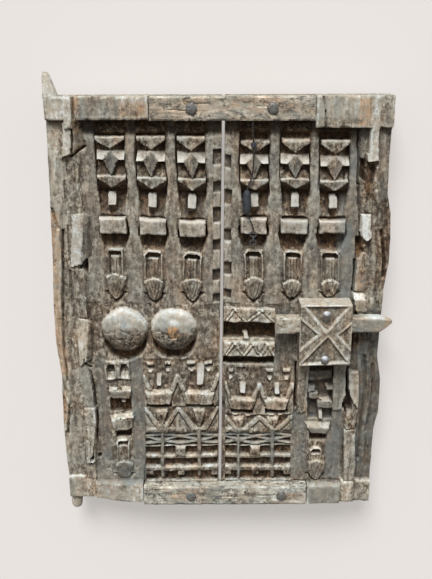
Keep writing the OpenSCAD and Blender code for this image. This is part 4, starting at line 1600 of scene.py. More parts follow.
        # the warm patches at 566-597 and 634-652 paint shade into the recesses sunk there
        each(r.stain, (SLATE, -171, -147, 484, 745, 0.75), (SLATE, -236, -216, 484, 735, 0.5),
             (WARM, -212, -172, 566, 597, 0.8, 3), (WARM, -205, -175, 634, 652, 0.9, 3))
        each(r.sink, (-212, -172, 566, 597, floor), (-205, -175, 634, 652, floor))
        r.block(-219, -171, 487, 526, 46, 1.5)
        for left, right in ((-215, -199), (-190, -174)):
            mid = (left + right) / 2
            r.hollow([(left + 4, 493), (right - 4, 493), (right, 502), (right, 511),
                      (left, 511), (left, 502)], 34, 2)
            # painted highlight on the facet under each slot, which faces up
            r.facet(PALE, 0.35, (left, 510, 35), (right, 510, 35), (mid + 5, 524, 46),
                    (left, 524, 46))
        # the pale facets at 543-550 and 598-612 face up and take painted highlights, and the warm
        # facet at the right is painted shade on a side face
        each(r.facet,
             (PALE, 0.3, (-213, 543, 42), (-196, 543, 42), (-198, 549, 48), (-214, 550, 48)),
             (PALE, 0.3, (-191, 542, 42), (-172, 543, 42), (-172, 549, 48), (-190, 550, 48)),
             (SLATE, 0.4, (-214, 550, 48), (-172, 549, 48), (-175, 566, 46), (-208, 566, 46)),
             (PALE, 0.2, (-215, 605, 42), (-170, 598, 42), (-168, 607, 49), (-212, 612, 49)),
             (PALE, 0.1, (-212, 612, 49), (-182, 609, 49), (-182, 635, 47), (-208, 636, 47)),
             (WARM, 0.4, (-182, 609, 49), (-169, 607, 46), (-172, 630, 43), (-182, 635, 47)))
        self.nose(-187, 566, 600, 10, 34, 40, 0.3)
        self.arch(-192, 655, 705, 13)
        self.shield(-190, 703, 744, 18, 0.7)
        self.panel(-146, -2, (-114, -41), (-81, 518), (-144, -91, 549, 577),
                   (-68, -9, 551, 578))
        each(self.eye, (-139, -127, 498), (-105, -95, 498), (-63, -48, 498), (-30, -15, 498))
        each(self.nose, (-117, 515, 546, 9.5, 40, 49, 0.7), (-37, 496, 550, 14, 40, 50, 0.72))

    def rails(self) -> None:
        """End blocks at the top and foot, and the roots of the pivots."""
        r, s = self.relief, self.s
        each(r.block, (-300, -267, 0, 40, s.rail - 1, 1.5), (-267, -253, 0, 54, s.rail, 1),
             (-253, -246.5, 0, 43, s.rail - 5, 1), (-246.5, -121.5, 0, 40, s.rail, 1.5),
             (-246.5, -152.5, 746, 781, s.rail - 3, 1.2), (-300, -266, 733, 781, s.front + 1, 1.2),
             (-266, -246.5, 740, 781, s.front, 1.2))
        r.line((-250, 0), (-250, 38), 2.2, -4)
        each(r.stain, (SLATE, -246, -152, 742, 749, 0.95, 3), (PALE, -300, -253, 0, 42, 0.6),
             (FRESH, -252, -240, 0, 30, 0.5), (SLATE, -238, -172, 2, 40, 0.6, 8),
             (PALE, -180, -121, 0, 14, 0.5, 8), (FRESH, -170, -121, 10, 34, 0.45, 12),
             (SLATE, -246, -190, 735, 780, 0.4, 8), (PALE, -240, -152, 752, 781, 0.45),
             (WARM, -246, -152, 742, 748, 0.6, 2), (SLATE, -300, -268, 742, 781, 0.5, 8))


class LockPlank(Plank):
    """Plank on the lock side, which carries the lock."""

    own = PlankSizes(
        "lock_plank", "right_plank", 1,
        (Column(63, 1, 0, gem=(74, 163), bar=(213, 241), arch=272, shield=(323, 365)),
         Column(134.5, 2, 0.01, gem=(72, 162), bar=(213.5, 239), shield=(327, 364)),
         Column(203.5, 2, 0.03, gem=(73, 163), bar=(214.5, 239), arch=272, shield=(327, 364))),
        outline=((0, 2.8), (50, 2.8), (60, 0), (170, 0), (206, 7), (255, 9.5),
                 (298, 9.5), (348, 3.5), (480, 0.5), (530, 8.5), (600, 8.5),
                 (640, 1), (720, -1), (745, 0), (792, 0)),
        squares=((100, 123), (161, 188), (234, 256), (296, 320), (347, 365)),
        x_runs=((0, 150, 1.85), (150, 300, 2)),
        v_runs=((0, 378, 2), (378, 752, 1.75), (752, 792, 2.5)),
        x_marks=(1, 21, 103.5, 141, 150.5, 166.5, 171, 172.5, 219, 242, 32.2, 41.8, 99.2, 108.8),
        v_marks=(54, 73, 113.7, 140, 167, 213, 241, 239, 383, 410.5, 450.5, 479, 513, 531, 545,
                 641, 671, 688, 698, 714, 726, 747, 753),
        seats=((-0.5, 166.5, -1, 41, 29.6), (-0.5, 172.5, 752.5, 793, 29.6),
               (145.5, 242.5, 366, 487, 39.6), (56, 313, 389, 429, 50.5)),
        splits=((17, 30, 252, 302, 60, 700), (18, 14, 10, 240, 60, 620)),
        border=250, inner=254, ground=39.6, calm_v=56, register=(56, 20),
        wander=(1.4, 1.5), dish=(42, 64), seeds=Seeds(51, 42, 9, 12, 71, 80))

    def loose(self, x: Array, v: Array) -> Array:
        """The grid is still where the lock case stands."""
        case = smooth((x - 120) / 20) * smooth((268 - x) / 20)
        return 1 - case * smooth((v - 340) / 20) * smooth((512 - v) / 20)

    def border(self) -> None:
        """Zigzag border along the lock side: facets, long grooves, and pockets painted dark with
        shade.
        """
        r = self.relief
        index, x, v = r.part(250, 301, 0, 752)
        strip = np.interp(x, [250, 256, 268, 278, 288, 300], [43, 46, 48, 50, 46, 45])
        lines = 1.1 * np.sin((x - v * 0.08) * 0.5 + 2.2 * rough(x, v, (30, 90), 65, 2))
        r.d[index] = strip + lines - 6 * smooth((v - 370) / 40)
        each(r.facet,
             (WARM, 0.5, (254, 160, 45), (270, 150, 47), (268, 203, 49), (252, 203, 49)),
             (WARM, 0.6, (260, 111, 44), (279, 110, 44), (274.6, 160, 50), (262, 158, 48)),
             (WARM, 0.5, (254, 256, 46), (270, 252, 46), (267, 350, 49), (247, 350, 49)),
             (WARM, 0.4, (251, 574, 46), (267, 588, 46), (263, 631, 50), (243, 631, 50)),
             (PALE, 0.6, (262.5, 0, 60), (274.4, 0, 60), (278.8, 110, 59), (259.6, 110, 59)),
             (PALE, 0.7, (252.2, 204, 53), (268.2, 204, 53), (270.7, 249, 57), (263.8, 255, 57),
              (254.3, 244, 57)),
             # painted highlight on the facet that faces up
             (PALE, 0.6, (246, 352, 48), (268, 352, 48), (268, 365, 56), (248, 365, 56)),
             (SLATE, 0.45, (248, 365, 56), (268, 365, 56), (271, 392, 54), (261, 404, 53),
              (252, 388, 54)),
             (PALE, 0.35, (245.1, 510, 50), (266, 510, 50), (266, 585, 56), (249.7, 568, 56)),
             (WARM, 0.25, (241.1, 632, 50), (264.4, 632, 50), (267, 745, 55), (245, 745, 55)))
        r.hollow([(260, 112), (279, 112), (274, 158), (268, 184), (255, 160)], 41, 4)
        each(r.line, ((259, 112), (254, 160), 1.6, 3), ((280, 112), (274, 160), 1.6, 3))
        each(r.hollow, ([(247, 104), (257, 106), (260, 147), (249, 138)], 30, 4),
             ([(246, 246), (254, 246), (262, 274), (250, 290)], 28, 4))
        each(r.line, ((279, 164), (285, 265), 3.2, 4.5), ((285, 265), (290, 370), 3.2, 4),
             ((285, 237), (295, 325), 3.6, -11), ((243, 60), (247, 150), 2.6, -9),
             ((247, 150), (256, 262), 2.6, -8), ((248, 290), (246, 352), 2.6, -14),
             ((276, 480), (272, 700), 3, -7), ((290, 500), (284, 640), 3, -5),
             ((262, 262), (256, 300), 2.6, 3), ((266, 592), (259, 632), 3, 3))
        # the first warm patch is the top rail's painted shadow, and the warm patches at 259-277 by
        # 112-182, 246-262 by 100-150 and 246-262 by 246-292 paint shade into the hollows there
        each(r.stain, (WARM, 0, 246, 36, 70, 0.95), (SLATE, 231, 246, 84, 180, 0.8, 8),
             (SLATE, 218, 246, 170, 380, 0.85, 10), (WARM, 228, 246, 84, 380, 0.32, 10),
             (WARM, 259, 277, 112, 182, 0.9, 4), (WARM, 246, 262, 100, 150, 0.8),
             (WARM, 246, 262, 246, 292, 0.8), (SLATE, 244, 266, 640, 742, 0.3, 5),
             (FRESH, 252, 264, 255, 350, 0.3, 5), (WARM, 276, 312, 130, 345, 0.75),
             (WARM, 262, 286, 255, 350, 0.6), (WARM, 246, 312, 400, 640, 0.85, 8),
             (SLATE, 252, 266, 318, 348, 0.8, 3), (SLATE, 262, 304, 380, 745, 0.6, 8),
             (WARM, 262, 304, 500, 745, 0.85), (SLATE, 278, 300, 60, 180, 0.4, 8),
             (SLATE, 246, 262, 470, 600, 0.3))

    def zigzag_bar(self, v0: float, v1: float, *figures: Spot) -> None:
        """Bar with triangles in raised lines, over a deep recess painted dark with shade.

        Args:
            v0, v1, figures: top, foot, and the left foot, apex and right foot of each triangle.
        """
        r, s = self.relief, self.s
        foot = min(v1 + 34, 498)
        r.sink(1, 103.5, v1, foot, s.deep)
        # painted shade in the recess under the bar
        r.stain(WARM, 1, 103, v1 + 1, foot, 0.9, 3)
        r.block(1, 103.5, v0, v1, s.front - 1, 1)
        for left, apex, right in figures:
            for x in (left, right):
                each(r.line, ((x, v1 - 2), (apex, v0 + 4), 2.4, 2.6),
                     ((x - 4.5, v1 - 2), (apex - 4.5, v0 + 4), 2.2, -2.4),
                     ((x + 4.5, v1 - 2), (apex + 3.5, v0 + 9), 2, -1.6))

    def lower(self) -> None:
        """Zigzag bars, the legs under the lock case with their carvings, and the panel."""
        r, floor = self.relief, self.s.floor
        self.zigzag_bar(383, 410.5, (9, 29, 46), (54, 78, 100))
        self.zigzag_bar(450.5, 479, (10, 29, 45), (48, 62, 78), (80, 90, 102))
        r.facet(PALE, 1, (44, 433, 30), (53, 432, 30), (56, 446, 44), (46, 446, 44))
        each(r.sink, (171, 219, 484, 613, floor - 2), (178, 209, 643, 661, floor))
        each(r.block, (150.5, 171, 480, 600, 45, 1.5), (219, 242, 480, 592, 46, 1.5))
        r.line((146, 496), (147, 590), 2.2, -16)
        index, x, v = r.part(236, 256, 476, 600)
        reach = 2 + 9 * smooth((v - 552) / 28) * (v < 592)
        shape = np.abs(x - 245 - reach * 0.3) - reach
        r.cut(index, np.where(shape < 0, 8, 99))
        each(r.block, (171.5, 218.5, 512, 530, 40, 1.2), (173, 192, 556, 570, 42, 1.2))
        # the pale facets face up and take painted highlights
        each(r.facet,
             (PALE, 0.2, (172, 542, 36), (187, 543, 36), (185, 553, 44), (172, 555, 44)),
             (PALE, 0.2, (205, 542, 36), (219, 541, 36), (219, 550, 44), (208, 551, 44)),
             (PALE, 0.3, (190, 566, 42), (212, 566, 42), (219, 575, 48), (198, 571, 48)),
             (SLATE, 0.8, (189, 570, 48), (200, 571, 48), (219, 576, 48), (219, 587, 47),
              (189, 585, 47)),
             (PALE, 0.3, (165, 620, 42), (215, 620, 42), (213, 629, 50), (170, 629, 50)),
             (SLATE, 0.9, (170, 629, 50), (213, 629, 50), (209, 643, 48), (178, 643, 48)))
        # the first two warm patches paint shade into the recesses sunk there
        each(r.stain, (WARM, 171, 219, 484, 613, 0.8, 3), (WARM, 178, 209, 643, 661, 0.9, 3),
             (SLATE, 219, 242, 480, 592, 0.6, 3), (SLATE, 172, 219, 510, 640, 0.5),
             (SLATE, 141, 170, 600, 745, 0.6), (SLATE, 208, 240, 592, 745, 0.75),
             (SLATE, 104, 142, 380, 500, 0.3))
        self.nose(195, 591, 618, 8.5, 38, 47, 0.7)
        self.arch(188, 675, 705, 12)
        self.shield(191, 703, 748, 17, 0.3)
        self.panel(8, 141, (37, 104), (78, 536), (22, 68, 565, 590), (87, 134, 565, 590))
        each(self.eye, (16, 26, 513), (89, 103, 513), (122, 136, 513))
        each(self.nose, (45, 534, 565, 10.5, 40, 50, 0.68), (111, 534, 565, 9.5, 40, 50, 0.7))

    def rails(self) -> None:
        """End blocks at the top and foot."""
        r, s = self.relief, self.s
        each(r.block, (166.5, 262.5, 0, 54, s.rail, 1.5), (262.5, 274.5, 0, 62, s.rail, 1),
             (274.5, 300, 0, 54, s.rail - 2, 1.5), (172.5, 240, 752, 793, s.rail - 1, 1.2),
             (240, 267, 745, 793, s.rail - 6, 2), (267, 300, 745, 793, s.rail - 9, 2.5))
        each(r.line, ((178, 2), (182, 26), 1.8, -5), ((182, 26), (184, 52), 1.8, -7))
        each(r.stain, (SLATE, 168, 240, 0, 40, 0.4, 10), (PALE, 170, 255, 0, 50, 0.3, 14),
             (FRESH, 240, 260, 4, 50, 0.6, 8), (PALE, 262, 275, 0, 60, 0.5, 3),
             (SLATE, 278, 300, 20, 54, 0.5, 8), (SLATE, 172, 240, 750, 792, 0.75, 10),
             (WARM, 172, 240, 747, 753, 0.7, 2), (PALE, 243, 262, 745, 792, 0.3, 5),
             (WARM, 268, 302, 750, 793, 0.5))


# ---- battens and pivots ----

@dataclass
class Batten:
    """Batten let in across both planks, between its left and right ends."""

    name: str
    node: str
    left: float
    right: float
    top: float
    seed: int
    bare: float
    height: float = 41
    front: float = 61.4
    seat: float = 30.3

    def build(self) -> None:
        """Builds the batten: a flat face with long adze dishes, cracks and chipped arrises."""
        low, high, top, foot = self.left + 0.4, self.right - 0.4, self.top, self.top + self.height
        r = Relief(ruled([(low, high, 1.6)]), ruled([(top, foot, 1.5)]), self.front)
        x, v = r.x_grid, r.v_grid
        inset = r.inset(x, v, low, high, top, foot)
        chips = 1 + np.clip(rough(x, v, (14, 8), self.seed + 3, 3), -0.5, 1.5)
        r.d -= 1.6 * chips * held(1 - inset / 3)
        r.d -= 1.2 * scallops(x, v, (60, 14), self.seed)
        r.d -= 0.35 * (1 + rough(x, v, (30, 5), self.seed + 5, 3))
        for k in range(3):
            rng = np.random.default_rng(self.seed + k)
            start, at = rng.uniform(low, high - 90), top + self.height * rng.uniform(0.2, 0.8)
            r.line((start, at), (start + 40, at + rng.uniform(-3, 3)), 1.4, -1.6)
        r.d = np.minimum(r.d, self.front)
        r.stain(FRESH, low, high, top, foot, self.bare, 10)
        for k in range(12):
            rng = np.random.default_rng(self.seed * 7 + k)
            mid, at = rng.uniform(low, high), top + rng.uniform(6, self.height - 6)
            kind = (FRESH, SLATE, PALE, WARM)[k % 4]
            r.stain(kind, mid - 16, mid + 16, at - 6, at + 6, 0.55, 16)
        piece = carved_solid(self.name, r, lambda x, v: (x, v), lambda x, v: x * 0 + self.seat,
                             self.seed, 8)
        dress(piece, BATTEN_WOOD, self.node)


@dataclass
class Pivot:
    """Wooden pivot cut from the hinge-side plank's end."""

    name: str
    x: float
    depth: float
    start: float
    end: float
    radii: tuple[Point, ...]
    seed: int
    lean: float = 0

    def build(self) -> None:
        """Builds the pivot as a profile carried along its axis, with whittled flats.

        Each ring's radius is the profile's at that share of the length, less the whittling
        noise. Its middle leans out with the share, and both ends close in a point.
        """
        turn, share = np.meshgrid(circle(40), np.linspace(0, 1, 26))
        flats = 1 - 0.05 * np.abs(np.sin(turn * 3.5 + 2 * share))
        lumps = 1 - 0.05 * (1 + rough(turn * 8, share * 60, (6, 14), self.seed, 2)) / 2
        radius = np.interp(share, *zip(*self.radii)) * flats * lumps
        rings = SET.place(self.x + self.lean * share + radius * np.cos(turn),
                          self.start + (self.end - self.start) * share,
                          self.depth + radius * np.sin(turn))
        tips = SET.place([self.x, self.x + self.lean], [self.start, self.end], self.depth)
        dress(ringed(self.name, rings, tips, 50, relief=np.array([0.85, 0.55, 0.1, 0]),
                     stain=np.array([0, 0, 0.5, 0.1])), PLANK_WOOD)


# ---- iron ----

@dataclass
class Spike:
    """Forged spike: a hammered head over a square shank that tapers to its point."""

    name: str
    node: str
    x: float
    v: float
    seat: float
    radius: float
    seed: int
    dome: float = 0.75
    height: float = 4
    length: float = 56
    side: float = 3
    tall: float = 1
    dusty: float = 0

    def build(self) -> None:
        """Builds the spike as rings that grow from the crown to the rim and shrink to the point.

        The head's outline is a circle with hammered flats, drawn out downwards. The shank's
        outline is a square: its radius is its half side over the larger of the cosine and the
        sine.
        """
        angle = circle(40)
        across, down = np.cos(angle), np.sin(angle)
        rng = np.random.default_rng(self.seed)
        flats = 1 - 0.07 * np.abs(np.sin(angle * 2.5 + rng.uniform(0, 6)))
        flats = flats - 0.04 * np.abs(np.sin(angle * 1.5 + rng.uniform(0, 6)))
        head, shank = np.linspace(0.08, 1, 9), np.array([0, 0.8, 0.86, 0.93, 1])
        crown = self.height * (1 - 0.8 * head ** (2 + 2 * self.dome))
        width = self.side * np.interp(shank, [0, 0.8, 1], [1, 1, 0.15])
        radius = np.concatenate([self.radius * np.append(head, 0.98)[:, None] * flats,
                                 width[:, None] / np.maximum(np.abs(across), np.abs(down))])
        depth = np.concatenate([crown, [0.15], 0.1 - self.length * shank])[:, None] + self.seat
        dents = 0.25 * rough(angle * 4, depth, (2.2, 3), self.seed, 2) * (depth > self.seat + 0.5)
        in_head = np.arange(len(depth))[:, None] <= len(head)
        drawn = 1 + (self.tall - 1) * in_head * (down + 1)
        rings = SET.place(self.x + radius * across, self.v + radius * down * drawn,
                          np.minimum(depth + dents, self.seat + self.height))
        tips = SET.place(self.x, self.v, [self.seat + self.height - 0.1, self.seat - self.length])
        # a pale dusting and a painted highlight on the upper side of the head
        dust = smooth((0.2 - down) / 1.1) * in_head * self.dusty
        dust = np.append(dust, [0.4 * self.dusty, 0])[:, None]
        dress(ringed(self.name, rings, tips, 40, dust=dust), NAIL_IRON, self.node)


# ---- lock ----

@dataclass
class LockCase:
    """Case of the lock: a block with a cross on its face and a channel through it."""

    x0: float = 146.8
    x1: float = 241.2
    v0: float = 367.3
    v1: float = 485.7
    front: float = 85.6
    back: float = 40.2
    sunk: float = 5
    channel_v: Point = (393.6, 424.4)
    channel_d: Point = (51.6, 80.4)

    def face(self) -> Relief:
        """Cuts the cross: four sunk triangles with raised rims between its arms.

        Returns:
            The carved face.
        """
        mouth = np.round(self.channel_v, 4)
        v = np.unique(np.append(np.round(ruled([(self.v0, self.v1, 1.25)]), 4), mouth))
        v = v[(np.diff(v, prepend=0) > 0.3) | np.isin(v, mouth)]
        r = Relief(ruled([(self.x0, self.x1, 1.25)]), v, self.front - 0.6)
        x, v = r.x_grid, r.v_grid
        cx, cv = (self.x0 + self.x1) / 2 + 1.5, (self.v0 + self.v1) / 2 - 1
        left, right, top, foot = self.x0 + 1, self.x1 - 1, self.v0 + 3, self.v1 - 3
        for corners in ([(left + 8, top), (right - 6, top), (cx, cv - 6.5)],
                        [(left + 2, foot), (cx + 3, cv + 3), (right - 4, foot - 4)],
                        [(left, top + 25), (cx - 15, cv - 1), (left, foot - 29)],
                        [(right, top + 35), (right, foot - 31), (cx + 21.5, cv)]):
            into = r.inside(corners, x, v)
            r.d -= self.sunk * smooth(into / 2.2)
            r.d += 1.8 * np.exp(-((into + 2) / 1.6) ** 2)
            r.mark((...,), PALE, 0.9 * np.exp(-((into + 1.8) / 1.9) ** 2))
            # painted shade in the sunk triangle
            r.mark((...,), WARM, 0.25 * (into > 1))
        inset = r.inset(x, v, self.x0, self.x1, self.v0, self.v1)
        r.d -= 1.8 * held(1 - inset / 3)
        r.weather(91, (3, 40), 0.35)
        r.d = np.minimum(r.d, self.front)
        # painted highlight along the top edge
        r.stain(PALE, self.x0, self.x1, self.v0, self.v0 + 5, 1, 3)
        return r

    def build(self) -> None:
        """Builds the case.

        The front is the carved relief. The side walls have rings at the channel's front and
        back depths, the channel's mouths are left open in them, and four walls of quads join
        the two mouths through the case.
        """
        r = self.face()
        masks = r.masks()
        masks[..., 3] = 0
        shell = Shell(r, masks, r.x_grid, r.v_grid)
        top = shell.row == 0
        mask = np.tile([0.68, 0.5, 0, 0], (len(top), 1))
        # the top face takes a painted top light here and a painted highlight in the pale channel
        # below
        mask[top, :3] = (0.82, 0.55, 0.4)
        stain = r.stains[shell.row, shell.col] * 0.5
        stain[top] = (0, 0, 0.6, 0.1)
        for depth in (*np.linspace(*self.channel_d[::-1], 4), self.back):
            shell.rings.append(shell.add(SET.place(shell.x, shell.v, depth), mask, stain))
        middle, reach = np.mean(self.channel_v), np.ptp(self.channel_v) / 2
        mouth = shell.ends & (np.abs(shell.v - middle) <= reach + 1e-3)
        closed = ~(mouth & np.roll(mouth, -1))
        for level, pair in enumerate(zip(shell.rings, shell.rings[1:])):
            quads = loop_faces(*pair)
            shell.faces.append(quads[closed] if 1 <= level <= 3 else quads)
        shell.faces.append(shell.rings[-1][None, :])
        channel = np.array(shell.rings[1:5])
        left, right = (np.flatnonzero(mouth & (shell.col == col)) for col in (0, shell.col.max()))
        left, right = (channel[:, side[np.argsort(shell.v[side])]] for side in (left, right))
        for low, high in zip([*left[[0, -1]], *left.T[[0, -1]]], [*right[[0, -1]],
                                                                  *right.T[[0, -1]]]):
            shell.faces.append(np.stack([low[:-1], low[1:], high[1:], high[:-1]], axis=-1))
        dress(shell.piece("lock_body"), LOCK_WOOD, "lock_case")


@dataclass
class Bolt:
    """Sliding bolt: square tail, body that fits the channel, pointed end and a keyway."""

    tail: float = 103
    tail_end: float = 137
    taper: float = 290
    point: float = 316.7
    keyway_end: float = 222
    middle_v: float = 408.6
    middle_d: float = 66
    half_v: float = 14.7
    half_d: float = 13.7
    keyway: float = 6

    def section(self, x: float, half_v: float, half_d: float, drop: float = 0,
                shift: float = 0, rough_by: float = 0) -> Array:
        """One ring: a square with rounded corners, set out by the angle round its middle.

        Args:
            x, half_v, half_d: its place, half its height and half its thickness.
            drop, shift: how far its underside and its middle are lowered.
            rough_by: depth of the whittling.

        Returns:
            Points of the ring.
        """
        count, power = 56, 9
        angle = circle(count, 0.5)
        along, out = np.cos(angle), np.sin(angle)
        size = (np.abs(along) ** power + np.abs(out) ** power) ** (-1 / power)
        whittle = rough_by * (0.5 + 0.5 * rough(angle * 6, np.full(count, x), (3, 14), 23, 2))
        v = half_v * size * out * (1 - whittle / half_v) + drop * (out > 0.5)
        d = half_d * size * along * (1 - whittle / half_d)
        return SET.place(x, self.middle_v + shift + v, self.middle_d + d)

    def build(self) -> None:
        """Builds the bolt as rings from the keyway's end, out of the tail and on to the point."""
        rings = [self.section(x, self.keyway, self.keyway)
                 for x in (self.keyway_end, 180, 140, self.tail + 0.4)]
        rings.append(self.section(self.tail, self.half_v - 1.5, self.half_d - 1.5, 3))
        for x in (*np.linspace(self.tail + 1, self.tail_end, 12),
                  *np.linspace(self.tail_end + 1, self.taper, 46)):
            drop, whittled = 2.6 * (x <= self.tail_end), 0.2 if 145 <= x <= 243 else 0.7
            rings.append(self.section(x, self.half_v, self.half_d, drop, 0, whittled))
        for share in np.linspace(0.06, 1, 14):
            size = 1 - 0.86 * share ** 1.35
            rings.append(self.section(
                self.taper + (self.point - self.taper) * share, self.half_v * size,
                self.half_d * (1 - 0.6 * share ** 2), 0, -4.5 * share, 0.5 * size))
        rings = np.stack(rings)
        tips = rings[[0, -1]].mean(axis=1)
        across, _, height = np.concatenate([rings.reshape(-1, 3), tips]).T

        def past(x: float, run: float) -> Array:
            """Smooth step from 0 to 1 that starts at x and takes a run."""
            return smooth((across - SET.place(x, 0, 0)[0]) / (run * MM))

        bare, tip, knot = past(250, 30), past(296, 14), past(312, 4)
        # painted highlight on the bolt's upper side, strongest on its bare end: it raises the
        # facing-up mask and the pale channel and holds back the slate there
        up = held((height - height.mean()) / 0.013) ** 4 * (0.25 + 0.75 * bare)
        relief = np.stack(np.broadcast_arrays(0.85, 0.52, up, 0), axis=-1)
        stain = np.stack([knot, past(240, 10) * (1 - tip) * (0.9 - 0.6 * up), 0.5 * up * bare,
                          tip * (0.6 - 0.5 * knot)], axis=-1)
        piece = ringed("sliding_bolt", rings, tips, 38, relief=relief, stain=stain)
        dress(piece, BOLT_WOOD, "lock_bolt", "bolt")


# ---- hanging cord ----

CORD_ROUTE = ((58, 41, 56), (58, 46, 56), (58, 52, 56), (58, 58, 56.2), (58.5, 64, 56.5),
              (59, 71, 57), (59.5, 79, 57), (60, 87, 57), (60, 95, 57), (60, 103, 57),
              (59.5, 111, 57), (59.5, 119, 57), (59, 127, 57), (58, 135, 57), (56, 142, 57.5),
              (53, 149, 58.5), (50.5, 156, 59.5), (49, 163, 60), (48.5, 170, 60),
              (48.5, 178, 60), (48.5, 186, 60), (48.5, 194, 60), (49, 201, 60),
              (50.5, 207, 59.8), (53.5, 213, 59), (56.5, 219, 58.2), (59, 225, 57.5),
              (60, 231, 57), (60.5, 237, 57))


@dataclass
class HangingCord:
    """Blackened cord under the top batten, with what is tied to it."""

    radius: float = 1.5
    turns: float = 16
    charm: Spot = (48.6, 183, 60)
    bead: Spot = (60, 83, 57)

    def tube(self) -> Piece:
        """Cord of two twisted plies: a level two-lobed ring carried down the route.

        Returns:
            The cord.
        """
        route = np.array(CORD_ROUTE, float)
        run = np.append(0, np.cumsum(np.linalg.norm(np.diff(route, axis=0), axis=1)))
        steps = np.linspace(0, run[-1], 190)
        x, v, d = (np.interp(steps, run, line)[:, None] for line in route.T)
        angle = circle(16)
        twist = steps[:, None] / run[-1] * self.turns * TURN
        radius = self.radius * (0.86 + 0.14 * np.cos(2 * (angle + twist)))
        rings = SET.place(x + radius * np.cos(angle), v, d + radius * np.sin(angle))
        piece = ringed("hanging_cord", rings, SET.place(*route[[0, -1]].T), 50)
        dress(piece, CORD_HIDE, "cord")
        return piece

    def lump(self, name: str, node: str, centre: Spot, radius: float, length: float, seed: int,
             wraps: float) -> Piece:
        """Bound lump: a barrel whose surface is wound with cord.

        The radius at a share of the length is one minus the cube of the share, to the power
        0.4, with ridges that wind round it.

        Args:
            name, node: name of the piece and the CAD node that it replaces.
            centre, radius, length: its middle, its largest radius and its length.
            seed, wraps: what picks the lumps, and the turns of the winding.

        Returns:
            The object.
        """
        turn, along = np.meshgrid(circle(32), np.linspace(-0.995, 0.995, 56))
        winding = 1 - 0.09 * (0.5 + 0.5 * np.cos(turn + along * math.pi * wraps))
        lumps = 1 - 0.06 * (1 + rough(turn * 3, along * 8, (2, 2), seed, 2)) / 2
        reach = radius * (1 - np.abs(along) ** 3) ** 0.4 * winding * lumps
        x, v, d = centre
        rings = SET.place(x + reach * np.cos(turn), v + along * length / 2,
                          d + reach * np.sin(turn))
        tips = SET.place(x, [v - length / 2, v + length / 2], d)
        piece = ringed(name, rings, tips, 60)
        dress(piece, CHARM_HIDE, node)
        return piece

    def build(self) -> None:
        tube = self.tube()
        charm = self.lump("wrapped_charm", "charm", self.charm, 8, 44, 6, 13)
        bead = self.lump("knotted_bead", "cord_bead", self.bead, 5.4, 10.8, 9, 5)
        iron = [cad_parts[node] for node in ("cord_ring", "link_1", "link_2", "link_3")]
        for piece in iron:
            set_material(piece, LINK_IRON)
        route = SET.place(*np.array(CORD_ROUTE, float).T)


# ---- stage ----

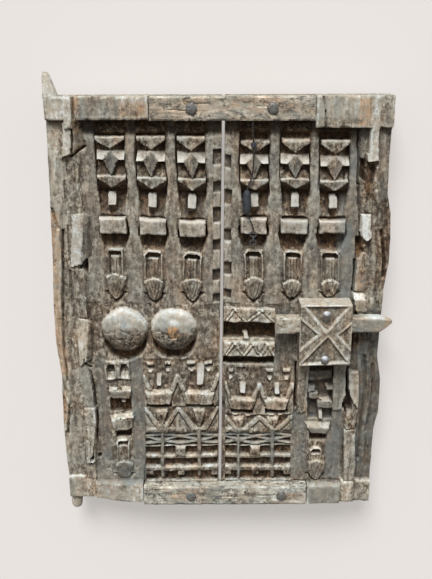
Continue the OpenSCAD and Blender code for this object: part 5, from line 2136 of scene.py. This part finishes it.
@dataclass
class Stage:
    """Camera, soft light, pale wall and pale floor."""

    lens: float = 48.43
    sensor: float = 36
    target: Spot = (283.4, -32, 436.5)
    eye: Spot = (283.4, -1392.4, 854)
    roll: float = 0.209
    wall_gap: float = 26
    floor_drop: float = 620
    pale: Colour = (0.83, 0.79, 0.76)
    sun: float = 3.4
    sky: float = 1

    def camera(self) -> None:
        """Places the camera in front of the leaf, looking down on it a little."""
        data = bpy.data.cameras.new("camera")
        data.lens, data.sensor_width = self.lens, self.sensor
        camera = stand("camera", data)
        eye, target = Vector(self.eye) * MM, Vector(self.target) * MM
        turn = (target - eye).to_track_quat("-Z", "Y")
        camera.matrix_world = (Matrix.Translation(eye) @ turn.to_matrix().to_4x4()
                               @ Matrix.Rotation(-math.radians(self.roll), 4, "Z"))
        bpy.context.scene.camera = camera

    def sheet_material(self, name: str, lit: float, glow: float) -> bpy.types.Material:
        """Pale backdrop material, seen only from its front.

        Args:
            name, lit, glow: its name, and the shares of its colour that depend on the light
                and don't.

        Returns:
            The material.
        """
        sheet, bench, shader = start_material(name)
        bench.fill(shader, {"Base Color": tuple(c * lit for c in self.pale), "Roughness": 1,
                            "Specular IOR Level": 0, "Emission Color": self.pale,
                            "Emission Strength": glow})
        choice = bench.add("ShaderNodeMixShader", {
            0: bench.add("ShaderNodeNewGeometry").outputs["Backfacing"], 1: shader.outputs[0],
            2: bench.add("ShaderNodeBsdfTransparent").outputs[0]})
        bench.fill(sheet.node_tree.nodes["Material Output"], {"Surface": choice.outputs[0]})
        return sheet

    def backdrop(self) -> None:
        """Pale wall behind the leaf and a pale floor under it, which light nothing else."""
        reach, floor_z = 6.0, -self.floor_drop * MM
        y = SET.back * MM + self.wall_gap * MM
        for name, lit, glow, corners in (
                ("wall", 0.50, 0.50, [(-reach, y, floor_z), (reach, y, floor_z),
                                      (reach, y, reach), (-reach, y, reach)]),
                ("floor", 0.22, 0.62, [(-reach, -reach, floor_z), (reach, -reach, floor_z),
                                       (reach, reach, floor_z), (-reach, reach, floor_z)])):
            mesh = bpy.data.meshes.new(name)
            mesh.from_pydata(corners, [], [(0, 1, 2, 3)])
            mesh.materials.append(self.sheet_material(f"pale_{name}", lit, glow))
            sheet = stand(name, mesh)
            sheet.visible_diffuse = sheet.visible_glossy = sheet.visible_shadow = False

    def light(self) -> None:
        """One broad sun from above, a little from the left, and a sky that pales upwards."""
        data = bpy.data.lights.new("key", "SUN")
        data.energy, data.angle = self.sun, math.radians(26)
        stand("key", data).rotation_euler = (math.radians(38), 0, math.radians(-14))
        world = bpy.data.worlds.new("sky")
        world.use_nodes = True
        bench = Bench(world.node_tree)
        place = bench.add("ShaderNodeTexCoord").outputs["Generated"]
        up = bench.add("ShaderNodeSeparateXYZ", {0: place}).outputs["Z"]
        sky = bench.ramp(bench.between(up, -1, 1),
                         [(0, (0.035, 0.03, 0.025)), (0.45, (0.10, 0.09, 0.08)),
                          (0.6, (0.36, 0.345, 0.325)), (1, (0.95, 1, 1.06))])
        rays = bench.add("ShaderNodeLightPath").outputs
        seen = bench.maths("MAXIMUM", rays["Is Camera Ray"], rays["Is Glossy Ray"])
        seen = bench.maths("MAXIMUM", seen, rays["Is Transmission Ray"])
        bench.fill(world.node_tree.nodes["Background"],
                   {"Color": bench.mix(seen, sky, self.pale), "Strength": self.sky})
        bpy.context.scene.world = world

    def build(self) -> None:
        """Sets the stage."""
        bpy.context.scene.view_settings.view_transform = "Standard"
        self.backdrop()
        self.light()


def main() -> None:
    """Builds every piece in order."""
    logging.basicConfig(level=logging.INFO, format="%(name)s: %(message)s")
    stage = Stage()
    stage.camera()
    HangingCord().build()
    HingePlank(Levels()).build()
    LockPlank(Levels()).build()
    Batten("upper_batten", "top_batten", -121, 166, 0.4, 101, 0.25).build()
    Batten("lower_batten", "bottom_batten", -152, 172, 753.4, 131, 0, 40.2).build()
    Pivot("upper_pivot", -293, 30, 5, -39.8,
          ((0, 15), (0.12, 14.6), (0.5, 10.4), (0.85, 7.4), (1, 4.5)), 3, -7).build()
    Pivot("lower_pivot", -290.6, 30, 774, 811.8,
          ((0, 11.8), (0.6, 11.8), (0.92, 10.6), (1, 8.5)), 5).build()
    for seed, (node, x, v) in enumerate((
            ("spike_top_left", -48, 20.5), ("spike_top_right", 92, 20.5),
            ("spike_bottom_left", -58, 773.5), ("spike_bottom_right", 122, 773.5)), 1):
        Spike(f"batten_spike_{seed}", node, x, v, 61.6, 10.8, seed).build()
    for number, node, v, tall in ((1, "lock_spike_upper", 386, 1.35),
                                  (2, "lock_spike_lower", 473, 1.15)):
        Spike(f"lock_nail_{number}", node, 194, v, 85.2, 8.2, number + 4, dome=0.2, height=4.6,
              length=78, tall=tall, dusty=0.6).build()
    LockCase().build()
    Bolt().build()
    for node in ("tumbler_1", "tumbler_2", "tumbler_3"):
        set_material(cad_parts[node], NAIL_IRON)
    stage.build()


if __name__ == "__main__":
    main()
